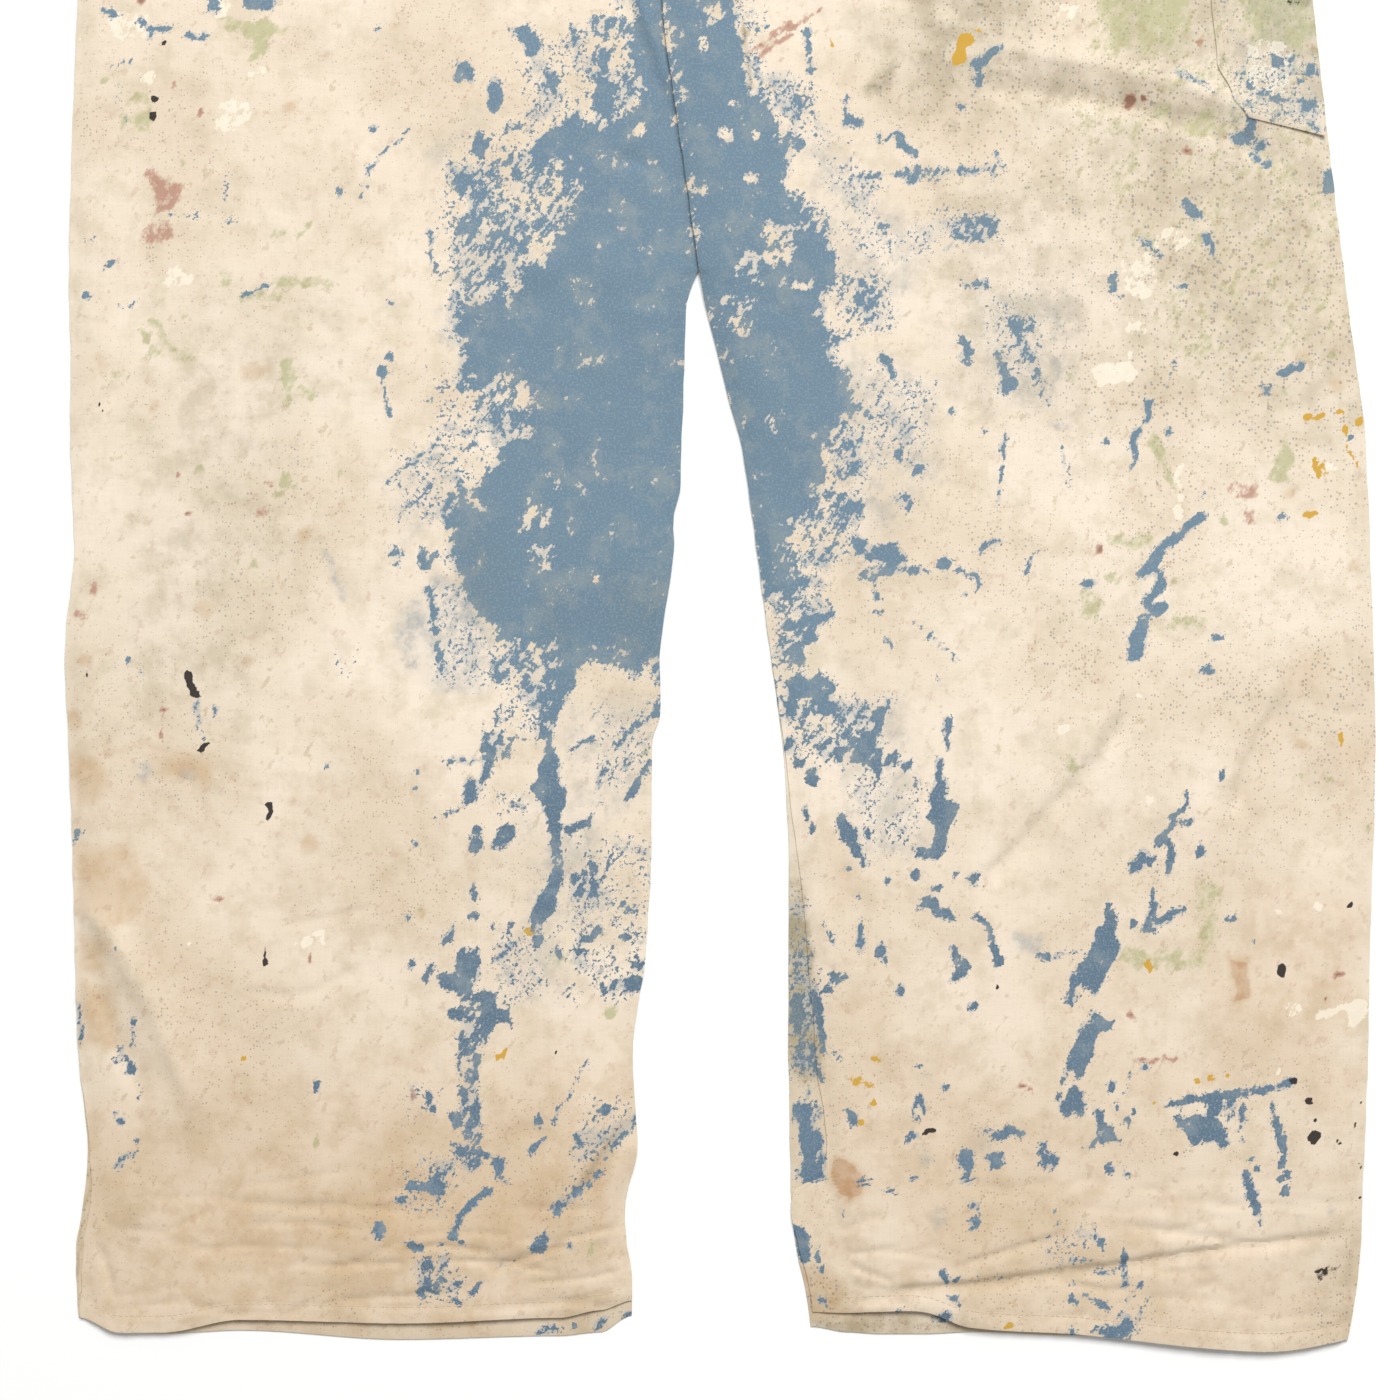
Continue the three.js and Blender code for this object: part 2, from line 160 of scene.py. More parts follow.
class Paint(Enum):
    """What has been spilt on, brushed over or worn into the cloth, and painted shade, by its layer's name."""

    # Dirt, and painted shade along the folds and in hollows.
    SOIL_AND_SHADE = "soil_and_shade"
    TAN = "tan_stain"
    FILM = "thinned_blue"
    GREEN = "pale_green"
    RUST = "red_oxide"
    WHITE = "filler"
    YELLOW = "ochre"
    BLACK = "black_gloss"
    BLUE = "slate_blue"
    WEAR = "worn_off"


class Shape(Enum):
    """How a mark is outlined."""

    PATCH = "patch"
    STROKE = "stroke"
    BLOT = "blot"
    DAB = "dab"


@dataclass(frozen=True)
class Mark:
    """One mark on the layout: numbers are an outline, a stroke's line, a blot's sides or a dab's middle and radii."""

    shape: Shape
    numbers: tuple[float, ...]
    cover: float
    soft: float
    widths: tuple[float, ...] = (0.0,)
    margin: float = 4.0
    rounding: float = 0.7

    def reach(self) -> tuple[float, float, float, float]:
        """The least and most across and down that the mark can touch.

        Returns:
            Left, right, upper and lower limits.
        """
        n, pad = self.numbers, self.soft + max(self.widths) / 2.0 + self.margin
        if self.shape is Shape.DAB:
            return n[0] - n[2] - pad, n[0] + n[2] + pad, n[1] - n[3] - pad, n[1] + n[3] + pad
        if self.shape is Shape.BLOT:
            return n[0] - pad, n[1] + pad, n[2] - pad, n[3] + pad
        return min(n[::2]) - pad, max(n[::2]) + pad, min(n[1::2]) - pad, max(n[1::2]) + pad

    def distance(self, x: Grid, y: Grid) -> Grid:
        """How far each place lies outside the mark, less than 0 inside it.

        Args:
            x: places across the layout.
            y: places down the layout.

        Returns:
            The distances, in layout units.
        """
        n = self.numbers
        if self.shape is Shape.DAB:
            round_off = np.hypot((x - n[0]) / n[2], (y - n[1]) / n[3])
            return (round_off - 1.0) * min(n[2], n[3])
        if self.shape is Shape.BLOT:
            half_x, half_y = (n[1] - n[0]) / 2.0, (n[3] - n[2]) / 2.0
            corner = self.rounding * min(half_x, half_y)
            dx = np.abs(x - (n[0] + n[1]) / 2.0) - half_x + corner
            dy = np.abs(y - (n[2] + n[3]) / 2.0) - half_y + corner
            outside = np.hypot(np.maximum(dx, 0.0), np.maximum(dy, 0.0))
            return outside + np.minimum(np.maximum(dx, dy), 0.0) - corner
        points = list(zip(n[::2], n[1::2]))
        closed = self.shape is Shape.PATCH
        ends = points[1:] + points[:1] if closed else points[1:]
        widths = np.interp(np.linspace(0, 1, len(points)), np.linspace(0, 1, len(self.widths)), self.widths)
        nearest = np.full_like(x, FAR)
        inside = np.zeros(x.shape, bool)
        for k, ((x0, y0), (x1, y1)) in enumerate(zip(points, ends)):
            ex, ey = x1 - x0, y1 - y0
            t = np.clip(((x - x0) * ex + (y - y0) * ey) / max(ex * ex + ey * ey, 1e-9), 0.0, 1.0)
            off = np.hypot(x - x0 - t * ex, y - y0 - t * ey)
            if closed:
                nearest = np.minimum(nearest, off)
                if ey:
                    inside ^= ((y0 <= y) != (y1 <= y)) & (x < x0 + (y - y0) * ex / ey)
            else:
                nearest = np.minimum(nearest, off - (widths[k] * (1.0 - t) + widths[k + 1] * t) / 2.0)
        return np.where(inside, -nearest, nearest) if closed else nearest


def patches(cover: float, *rows: tuple[float, ...], soft: float = 5.5) -> list[Mark]:
    """Marks with an outline of points, each row being x, y, x, y and so on."""
    return [Mark(Shape.PATCH, row, cover, soft) for row in rows]


def blots(cover: float, *rows: tuple[float, ...], soft: float = 6.0) -> list[Mark]:
    """Rounded marks, each row being their left, right, upper and lower sides."""
    return [Mark(Shape.BLOT, row, cover, soft) for row in rows]


def dabs(cover: float, *rows: tuple[float, ...], soft: float = 3.6) -> list[Mark]:
    """Drops, each row being the middle and one or two radii."""
    return [Mark(Shape.DAB, (row[0], row[1], row[2], row[-1]), cover, soft) for row in rows]


def strokes(cover: float, *rows: tuple, soft: float = 4.6) -> list[Mark]:
    """Runs and brush strokes.

    Args:
        cover: how fully they cover.
        rows: the width of each mark, or the widths along it, and then its points.
        soft: the width of their edges.

    Returns:
        The marks.
    """
    made = []
    for width, *points in rows:
        widths = width if isinstance(width, tuple) else (width,)
        made.append(Mark(Shape.STROKE, tuple(points), cover, soft, widths))
    return made


# Slate blue: two broad brushed areas at the thighs, drips and smears below them, and blots at the hems.
BLUE = [
    *patches(1.0, (632,-8, 636,22, 627,50, 632,75, 641,88, 638,105, 613,118, 604,125, 587,122, 570,118, 549,129,
        535,145, 524,154, 493,161, 475,172, 448,176, 450,194, 466,194, 471,212, 453,214, 455,236, 473,240, 505,243,
        528,268, 520,290, 480,305, 452,312, 466,350, 462,379, 468,390, 482,415, 506,441, 504,446, 484,475, 470,488,
        455,478, 464,486, 446,497, 444,506, 448,524, 450,551, 457,587, 466,596, 475,618, 493,631, 495,651, 493,683,
        506,683, 511,700, 540,705, 566,700, 573,685, 576,676, 589,662, 611,665, 636,676, 642,662, 653,667, 660,700,
        680,690, 694,400, 690,300, 699,263, 696,237, 688,167, 679,98, 667,22, 661,-8), (661,-8, 667,22, 679,98,
        688,167, 696,237, 699,263, 705,320, 735,450, 750,540, 767,596, 790,598, 812,582, 825,587, 796,573, 796,560,
        789,546, 788,537, 798,520, 809,511, 822,502, 823,486, 827,468, 822,457, 823,448, 834,437, 843,424, 856,415,
        873,421, 866,408, 856,395, 852,375, 847,366, 834,363, 825,350, 854,335, 843,339, 832,335, 822,317, 822,292,
        834,288, 838,268, 832,252, 825,237, 828,221, 818,210, 805,205, 796,194, 784,190, 785,170, 788,154, 796,152,
        804,147, 803,141, 789,132, 774,118, 767,98, 758,92, 758,78, 756,63, 750,49, 751,33, 765,28, 747,29, 737,22,
        733,-8), soft=17.0),
    *patches(1.0, (688,250, 712,250, 707,330, 688,330), (511,29, 520,26, 531,28, 539,38, 542,50, 536,57, 525,56,
        522,46, 516,38), (994,352, 1000,345, 1003,362, 1012,372, 1017,385, 1008,395, 998,391, 1001,378, 995,366),
        (417,546, 425,545, 430,553, 437,551, 438,560, 430,571, 422,571, 418,562), (971,79, 980,71, 982,80, 984,87,
        978,89), (1246,118, 1255,122, 1256,136, 1247,144, 1229,143, 1228,136, 1240,132, 1246,128), (490,846, 496,836,
        503,824, 510,822, 516,833, 508,841, 500,849, 491,850), (440,943, 444,932, 452,924, 456,930, 452,940, 443,947),
        (457,953, 463,946, 470,950, 478,949, 480,962, 478,975, 472,988, 467,992, 459,998, 452,992, 442,988, 438,978,
        437,973, 450,971, 457,967), (480,990, 485,988, 497,996, 494,1006, 498,1010, 511,1007, 512,1018, 510,1027,
        503,1020, 496,1021, 492,1030, 487,1045, 481,1046, 482,1025, 480,1008), (890,700, 888,709, 881,729, 877,745,
        880,757, 882,773, 877,777, 870,768, 858,765, 845,766, 850,757, 855,748, 862,738, 872,725, 874,712, 884,702),
        (835,814, 841,813, 852,826, 859,838, 861,852, 869,866, 864,867, 857,856, 849,847, 842,835, 836,822), (936,760,
        941,758, 945,780, 946,800, 957,801, 959,808, 955,820, 949,828, 948,845, 942,856, 933,860, 918,855, 913,847,
        922,845, 930,846, 934,836, 933,825, 927,822, 927,815, 932,805, 930,797, 934,780), (917,910, 920,899, 928,893,
        935,896, 941,905, 952,914, 955,921, 950,923, 940,918, 930,912, 922,908), (949,946, 955,944, 961,955, 968,957,
        970,967, 963,975, 957,980, 949,979, 954,968, 953,957), (965,877, 972,870, 978,873, 977,881, 982,886, 975,888,
        969,883), (828,975, 835,970, 840,975, 846,970, 849,977, 842,979, 838,985, 831,983), (1128,866, 1138,858,
        1140,851, 1147,850, 1150,856, 1157,858, 1150,863, 1138,871, 1131,874), (1107,900, 1111,907, 1116,917,
        1118,930, 1117,950, 1114,963, 1108,972, 1100,985, 1095,995, 1085,990, 1078,992, 1073,1004, 1066,1000,
        1062,997, 1070,989, 1069,983, 1076,972, 1085,955, 1093,948, 1095,930, 1104,923), (1090,1013, 1095,1012,
        1104,1018, 1114,1022, 1111,1030, 1104,1034, 1098,1032, 1093,1045, 1090,1055, 1087,1062, 1082,1075, 1076,1080,
        1072,1068, 1064,1065, 1070,1055, 1074,1046, 1076,1038, 1082,1025), (1066,1094, 1075,1087, 1082,1092,
        1080,1099, 1087,1110, 1085,1117, 1075,1115, 1065,1116, 1059,1112, 1062,1102), (1097,1108, 1103,1110,
        1104,1120, 1114,1128, 1116,1134, 1122,1138, 1120,1142, 1108,1142, 1100,1144, 1095,1136, 1093,1125),
        (1172,1116, 1178,1114, 1185,1117, 1200,1113, 1210,1115, 1220,1121, 1225,1130, 1229,1142, 1226,1148, 1221,1148,
        1216,1141, 1210,1140, 1200,1143, 1192,1146, 1187,1142, 1184,1132, 1177,1128), (1096,1236, 1108,1239,
        1104,1246, 1100,1253, 1097,1245), (118,1046, 126,1048, 128,1058, 136,1064, 135,1071, 130,1074, 125,1072,
        126,1063, 121,1058), (471,1052, 484,1052, 483,1065, 477,1070, 468,1073, 464,1068, 472,1062), (452,1142,
        460,1140, 463,1152, 471,1155, 464,1160, 455,1155), (402,1187, 410,1180, 420,1185, 430,1177, 437,1170,
        441,1175, 440,1180, 447,1186, 444,1193, 436,1197, 425,1192, 412,1189), (374,1221, 381,1220, 386,1229,
        384,1236, 377,1237, 374,1230), (405,1243, 412,1238, 424,1247, 424,1253, 415,1253, 407,1247), (491,1163,
        497,1157, 504,1160, 505,1168, 499,1172, 509,1182, 505,1184, 494,1176), (541,1135, 546,1137, 544,1145,
        537,1148, 535,1154, 530,1157, 529,1150, 535,1145), (529,1246, 536,1240, 546,1231, 548,1247, 549,1250,
        538,1252, 531,1253), (533,1332, 545,1326, 555,1325, 561,1330, 564,1331, 550,1334), (843,1107, 848,1107,
        857,1113, 859,1121, 856,1126, 850,1125, 849,1117), (919,1091, 922,1098, 925,1108, 926,1114, 922,1114,
        920,1106, 917,1108, 915,1121, 910,1121, 912,1110, 915,1098), (975,1128, 985,1128, 1000,1130, 1012,1126,
        1017,1125, 1027,1132, 1020,1137, 1010,1136, 1000,1139, 990,1142, 992,1136, 982,1132), (960,1152, 965,1146,
        971,1149, 973,1158, 972,1168, 970,1177, 966,1177, 965,1167, 958,1168, 956,1162), (981,1154, 990,1151,
        1002,1153, 1004,1165, 999,1169, 992,1167, 989,1160), (976,1215, 980,1222, 978,1228, 968,1228, 972,1220),
        (946,1295, 961,1295, 960,1302, 964,1308, 961,1310, 953,1302), (938,1318, 944,1311, 951,1312, 951,1321,
        940,1322), (72,828, 82,830, 79,836, 73,844), (800,1125, 818,1130, 823,1150, 826,1165, 825,1178, 815,1168,
        805,1180, 798,1178, 803,1160, 800,1140), (793,1226, 803,1228, 812,1240, 809,1258, 802,1262, 797,1250)),
    *patches(0.8, (483,721, 486,732, 500,732, 513,748, 512,757, 500,762, 485,768, 482,750), (847,537, 861,537,
        870,549, 880,543, 895,544, 908,556, 905,562, 880,563, 862,560, 850,550), (882,564, 900,563, 930,570, 928,574,
        900,577, 882,577, 876,590, 884,600, 880,602, 873,598, 872,585, 862,580, 858,585, 856,578, 862,568),
        (1088,1333, 1096,1325, 1104,1320, 1115,1328, 1122,1324, 1117,1313, 1121,1311, 1130,1318, 1133,1332, 1130,1341,
        1110,1338, 1095,1336)),
    *patches(0.5, (448,205, 552,215, 552,338, 450,338), (770,600, 800,590, 830,595, 830,620, 815,640, 812,660,
        830,680, 836,700, 836,720, 780,720, 776,700, 772,650), (790,905, 806,905, 818,1000, 816,1078, 790,1078),
        (769,76, 816,85, 816,125, 794,125, 774,107), (834,266, 896,275, 890,330, 840,335), (823,412, 870,425, 865,480,
        830,488), (789,475, 860,490, 850,560, 800,573), (560,40, 600,20, 640,40, 640,112, 600,118, 565,112), (789,700,
        892,700, 880,750, 840,767, 800,750), (417,1258, 445,1255, 462,1280, 455,1302, 420,1300), soft=16.0),
    *patches(0.26, (805,125, 850,140, 880,190, 870,223, 830,190), (825,221, 934,228, 930,257, 850,257), (854,368,
        934,385, 925,475, 870,460), (843,767, 923,780, 915,852, 870,850), (484,783, 526,790, 524,816, 495,810),
        (1050,1232, 1095,1228, 1100,1255, 1055,1262), (409,1086, 438,1090, 430,1130, 410,1128), (330,651, 352,648,
        352,674, 335,672), (735,-8, 760,-8, 762,96, 744,96), (520,40, 600,30, 590,120, 520,130), (990,290, 1040,295,
        1036,395, 990,350), (575,840, 655,840, 645,1000, 565,1000), (500,930, 560,925, 540,1000, 495,1010), (600,705,
        660,700, 650,760, 600,800), (395,450, 470,440, 455,530, 400,520), (440,560, 500,600, 490,690, 440,680),
        (590,1090, 640,1080, 600,1180, 560,1210), (400,1170, 460,1150, 450,1210, 400,1205), (1225,55, 1325,60,
        1322,130, 1240,120), (936,200, 1004,206, 1002,244, 944,246), (440,150, 600,110, 600,270, 530,300, 440,290),
        (430,370, 560,370, 540,500, 440,500), (700,10, 735,10, 750,100, 700,90), soft=22.0),
    *blots(1.0, (593,615, 78,116), (598,609, 47,76), (455,473, 60,83), (243,275, -6,10), (806,814, 60,74), (843,863,
        116,127), (875,882, 134,146), (856,867, 277,290), (854,865, 292,306), (845,864, 498,513), (854,861, 514,519),
        (895,904, 450,463), (913,923, 465,473), (963,973, 350,366), (876,882, 609,613), (798,816, 627,645), (788,805,
        645,667), (787,834, 676,700), (786,796, 700,717), (820,836, 700,717), (886,898, 755,767), (901,912, 760,771),
        (784,793, 738,754), (792,805, 755,767), (805,819, 767,784), (1270,1283, 55,67), (1287,1293, 56,64),
        (1304,1316, 63,76), (1253,1266, 138,149), (1322,1338, 170,194), (448,462, 1007,1019), (1037,1050, 951,961),
        (1138,1157, 925,933), (1204,1222, 1097,1115), (793,812, 1102,1126), (797,824, 1170,1181), (449,464,
        1113,1130), (463,477, 1070,1085), (462,473, 1086,1099), (789,805, 997,1024), (464,477, 783,803)),
    *blots(0.62, (589,638, 16,40), (903,946, 165,183), (856,880, 172,181), (952,999, 214,243), (875,890, 220,231),
        (1012,1035, 310,335), (961,988, 279,290), (892,914, 493,511), (494,546, 700,744), (642,662, 700,720),
        (834,856, 731,762), (895,906, 783,803), (1224,1235, 1099,1119), (1238,1249, 1104,1130), (462,475, 1117,1144),
        (473,484, 827,853), (208,219, -6,13), (388,404, 546,567), (504,522, 123,134), (542,569, 69,98), (552,570,
        92,98), (618,640, 899,914), (570,600, 860,900), (825,842, 1050,1060), (468,477, 879,901), (507,514, 923,940),
        (1296,1318, 98,114), (1038,1048, 1140,1170), soft=6.0),
    *dabs(1.0, (495,97, 8,17), (480,146, 8,13), (390,358, 4), (382,372, 5), (373,131, 3), (378,29, 2.4), (392,304,
        7,3), (340,193, 3,5), (87,297, 4), (998,156, 3,5), (951,78, 3), (961,107, 3), (952,412, 3), (983,432, 3),
        (944,564, 8,6), (966,594, 3), (939,678, 2.6), (1113,283, 5,8), (1122,297, 2.6), (1185,286, 7,2.4), (1168,433,
        2.6,6), (1106,442, 3), (1087,584, 6,3), (1217,636, 7,2.6), (1206,671, 8,3), (1202,497, 3), (1266,391, 5,6),
        (1350,439, 3.5), (1284,518, 6,3), (564,791, 5), (418,773, 3), (415,788, 2.6), (415,844, 3), (407,918, 4),
        (472,915, 5), (492,928, 3,5), (624,937, 6,5), (558,953, 4,6), (580,953, 7,4), (604,990, 4,6), (614,988, 3,7),
        (637,965, 8,6), (634,984, 11,7), (427,978, 3,5), (430,968, 3,5), (412,964, 3,4), (867,833, 3,6), (934,888,
        6,4), (916,876, 5,6), (955,874, 3), (886,881, 5,4), (847,868, 5,4), (858,896, 3,4), (880,951, 5,8), (885,961,
        3.5,5), (899,990, 3,5), (973,1006, 5,4), (828,991, 4,3.5), (1186,822, 7,4), (1201,851, 6,6.5), (1222,776,
        3,6), (1252,941, 4), (1230,920, 6,4), (1132,923, 3.5), (129,660, 2.6), (143,673, 3,2.4), (327,765, 2.4,4),
        (216,710, 2.4,5), (117,948, 2.4,3), (115,1114, 2.2), (120,1122, 3), (138,1142, 2.6,4), (317,1086, 2.6,5),
        (473,1108, 3,10), (400,1200, 4), (484,1154, 7,3), (428,1098, 3,7), (432,1109, 5,4), (442,1243, 4,3),
        (461,1241, 4,2.4), (539,1121, 3.6,7), (603,1109, 5), (552,1208, 3), (559,1206, 4,7), (578,1193, 5,6),
        (568,1244, 3), (421,1294, 4,5), (436,1285, 3), (441,1278, 5,3), (458,1283, 6,2.6), (428,1264, 5,4), (457,1300,
        5,2.4), (575,1328, 4,3), (629,1315, 5,2.4), (818,1256, 4,8), (821,1270, 2.4,3), (807,1092, 2.4), (947,1088,
        5,4), (919,1067, 2.6,3), (913,1136, 5,3), (908,1141, 3,2.4), (967,1180, 3,4), (973,1207, 4.5,4), (823,1301,
        3,4), (844,1214, 2.4,3), (865,1182, 6,2.6), (889,1191, 4,2), (902,1309, 5,2), (1110,1087, 4,7), (1115,1108,
        2.4,4), (1127,1122, 3,4), (1133,1112, 2.4,5), (1145,1067, 4,2.6), (1252,1158, 5,4), (1257,1169, 2.6,3),
        (1261,1221, 3,4), (1283,1158, 3.6,5), (1282,1166, 5,4), (1280,1178, 4), (1288,1174, 3,4), (1285,1190, 4,6),
        (1052,1160, 4,8), (1109,1168, 5), (1126,1174, 4,2.4), (1053,1212, 2.6,3), (1058,1223, 3), (1073,1299,
        5.5,4.5), (1075,1284, 3,2.2), (1139,1284, 3,2.2), (1072,1332, 7,2.2), (1243,1142, 2.4), (1247,1150, 2.4),
        (913,1178, 4,3)),
    *strokes(1.0, ((3,10), 571,27, 577,60, 578,100, 576,120), (3.5, 383,377, 389,417), (4, 430,232, 432,258, 442,282),
        (4, 140,20, 152,29, 170,29), (3, 152,29, 150,40), (4, 190,36, 210,37), (5, 105,10, 116,15), (3, 106,268,
        113,262), (3, 244,295, 268,286), (2.6, 369,183, 362,199), (2.2, 409,132, 390,147, 372,167, 362,185), (7,
        808,32, 805,42, 809,53), (4, 848,95, 847,115), (7, 899,135, 903,146, 915,157), (2.4, 882,143, 894,134),
        ((12,5), 975,66, 985,58, 1000,50), (4, 993,168, 993,178), (6, 963,339, 967,352), ((10,4), 882,357, 890,364,
        896,383), ((4,2), 1005,435, 1001,466, 998,506), (4, 980,552, 988,544, 998,541), (5, 957,572, 975,574,
        978,587), ((6,2), 1025,573, 1033,554, 1050,548), (8, 785,627, 805,622, 830,614), (2.2, 915,622, 957,660), (4,
        888,640, 891,648), (4, 1246,85, 1273,98, 1293,103), (6, 1253,155, 1268,164), (9, 1185,202, 1197,216), (8,
        1207,238, 1212,251), (11, 1200,517, 1192,522, 1184,533, 1170,541, 1157,555, 1148,566, 1143,575), (10,
        1157,571, 1162,578, 1159,587, 1150,598, 1146,609), ((10,12,15,17), 1163,607, 1153,613, 1144,618, 1139,631,
        1135,653), (9, 1147,402, 1148,418), ((8,5), 1137,433, 1133,448, 1132,468), (8, 1281,374, 1299,367),
        ((29,17,12,19,28,22,13,12,11,11,22,15,9), 551,695, 547,722, 548,745, 550,767, 547,787, 554,800, 554,823,
        557,845, 558,867, 554,885, 547,901, 539,921, 538,943), (6, 484,745, 486,776, 482,783), (7, 478,828, 474,850),
        (6, 573,748, 593,740), (7, 651,763, 640,780, 626,797), (8, 569,829, 591,821), (3, 612,855, 602,880), (9,
        583,942, 601,929), (3, 614,948, 614,964), (5, 471,880, 476,900), (4, 917,777, 916,785), (5, 805,808, 812,830),
        ((8,4), 947,722, 947,747), ((6,9), 976,916, 988,927, 993,940, 997,962), ((4,7), 860,921, 861,949), (4,
        822,926, 833,942), (8, 816,996, 820,1020, 823,1050), ((5,9), 1188,793, 1186,807, 1175,816, 1166,829,
        1159,843), ((8,5), 1168,838, 1172,856, 1168,876), ((7,9), 1153,892, 1153,912, 1148,928), (8, 1157,924,
        1180,909), ((3,6,9,8,7,8), 1165,1105, 1184,1101, 1217,1096, 1251,1091, 1278,1087, 1289,1083), ((8,9),
        1246,1176, 1250,1185, 1254,1192), ((7,9,6), 1249,1196, 1254,1205, 1259,1214), ((4,7,9,5), 1274,1105,
        1275,1124, 1280,1139, 1283,1150), (5, 1095,1143, 1084,1148), (2.4, 1180,1104, 1181,1115), ((7,5,6,8),
        488,1190, 478,1196, 470,1203, 463,1212, 456,1225, 452,1237), (6, 577,1136, 580,1148), (4, 455,1162, 446,1175),
        (4, 559,1107, 553,1122), ((7,3), 472,1294, 478,1285, 486,1278), (5, 594,1328, 605,1322), (6, 942,1273,
        948,1282), (4, 955,1279, 960,1277), ((6,7), 812,1045, 814,1065, 821,1078), ((6,5,3), 1084,1292, 1090,1297,
        1103,1305, 1110,1309), (4, 1070,1260, 1090,1259), ((4,5,2), 1124,1248, 1123,1270, 1126,1287), (2.6, 1094,1273,
        1115,1270), (4, 135,1020, 132,1045), (2.6, 78,1004, 79,1022, 81,1040), (3, 116,1058, 119,1062), (6, 429,589,
        434,618, 438,647, 444,678)),
    *strokes(0.6, (5, 389,484, 392,475, 424,455, 433,446, 457,448, 477,446), (6, 415,504, 435,482), (8, 428,401,
        439,390, 462,388), (3, 131,62, 114,66, 116,76, 120,100, 125,120, 132,133), (3, 83,242, 99,231), (3, 228,175,
        225,200), (6, 1140,239, 1160,256), (3, 1175,361, 1169,383), (9, 466,803, 475,783), (5, 484,785, 524,809),
        ((12,4), 660,713, 638,722, 613,751, 596,789), (4, 436,820, 459,809), (7, 856,177, 900,174, 950,173, 1002,167),
        (22, 471,1000, 468,1060, 472,1160), (12, 1012,320, 1030,360, 1046,400), (4, 1175,72, 1200,84, 1222,100), (5,
        1250,92, 1275,103, 1300,104, 1316,112), (4, 1290,118, 1318,128), (4, 440,762, 482,760), (5, 493,962, 515,942),
        (7, 466,1030, 470,1050), (4, 473,1002, 470,1025), (4, 1050,957, 1092,950), (4, 1157,865, 1153,890), (7,
        1066,1072, 1058,1097), (3, 1129,1075, 1127,1092), ((6,8,8,5,8,7,4), 637,1117, 621,1137, 607,1155, 598,1173,
        580,1193, 564,1204, 553,1217), (4, 604,1170, 587,1192), (4, 587,1061, 582,1072, 573,1088, 568,1099, 559,1110),
        (3, 959,1281, 979,1279, 1006,1275, 1026,1271), (4, 116,1168, 126,1159, 135,1153), (3, 142,1084, 140,1097), (3,
        1153,1294, 1145,1305, 1138,1320, 1137,1330), (3, 1125,1302, 1132,1295), (3, 196,700, 199,718, 205,736), (3,
        437,1197, 433,1204), (2.4, 497,1267, 512,1264, 528,1255), (2.6, 816,1098, 818,1118), (3, 1185,1153,
        1187,1150), (2.4, 167,216, 214,215), (2.4, 224,223, 241,222), (2.4, 118,307, 145,303), (3, 1060,441, 1070,486)),
]

# Where the blue has been rubbed off again, and chips that show the cloth.
WEAR = [
    *patches(0.42, (475,174, 506,165, 529,161, 564,156, 589,185, 573,201, 569,223, 551,246, 546,268, 529,268, 506,237,
        475,234, 471,201), (471,379, 500,377, 533,384, 535,400, 533,430, 520,445, 505,440, 490,418, 478,400),
        (495,636, 555,640, 548,735, 500,735), (756,221, 796,225, 796,265, 765,268), soft=14.0),
    *blots(0.38, (516,549, 504,540), (529,560, 544,573), (467,485, 497,505), (555,562, 482,492), (733,762, 250,288),
        (798,823, 212,232), (774,791, 120,143), (704,725, 4,29), (765,778, 410,430), (720,753, 292,335), (560,590,
        40,112), soft=8.0),
    *blots(0.7, (592,600, 572,586), (730,736, 100,109), (718,731, 127,140), (742,758, 174,183), (703,709, 187,195),
        (794,811, 282,290), (1182,1206, 1105,1113), (1076,1089, 986,992), (815,822, 1150,1165)),
    *strokes(0.6, (12, 742,25, 747,60, 752,92), soft=5.0),
    *dabs(0.62, (669,78, 2.2,5), (675,121, 3.4,7), (666,42, 2.4,4), (640,130, 5,9), (704,45, 6,9), (757,137, 6,5)),
]

# Blue thinned to a smoky film, and grey smudges.
FILM = [
    *patches(0.55, (455,237, 500,228, 520,250, 540,275, 500,300, 470,310, 455,280), (437,308, 475,312, 470,350,
        445,345), (435,575, 470,590, 490,640, 485,690, 440,690, 400,660, 395,630, 410,600), (1010,934, 1041,938,
        1038,955, 1012,952), soft=14.0),
    *patches(0.28, (520,800, 600,800, 600,920, 530,930), (500,930, 560,940, 560,1000, 505,1000), (980,1136, 1000,1140,
        985,1160, 970,1150), (380,480, 450,450, 450,520, 400,540), (835,700, 900,700, 930,860, 850,860), (800,120,
        930,240, 900,330, 830,300), (830,340, 930,380, 940,480, 850,570), (560,700, 650,700, 640,800, 580,840),
        soft=24.0),
    *strokes(0.5, (6, 866,426, 868,448, 876,464, 885,466), (5, 1059,363, 1058,377, 1062,399), (5, 1050,426, 1066,424),
        (6, 326,553, 335,573, 342,600), soft=5.0),
    *patches(0.16, (1215,-60, 1318,-60, 1322,130, 1250,112), soft=20.0),
    *patches(0.27, (980,300, 1075,296, 1072,405, 990,408), soft=34.0),
    *dabs(0.35, (926,1078, 7), (926,1157, 7,9), (938,1217, 8,9), (188,775, 8,7), (143,770, 10), (438,1063, 3,7),
        (1332,1208, 5), (1284,1207, 3), (1300,1217, 3), soft=8.0),
    *strokes(0.2, (20, 475,116, 435,156), soft=12.0),
]

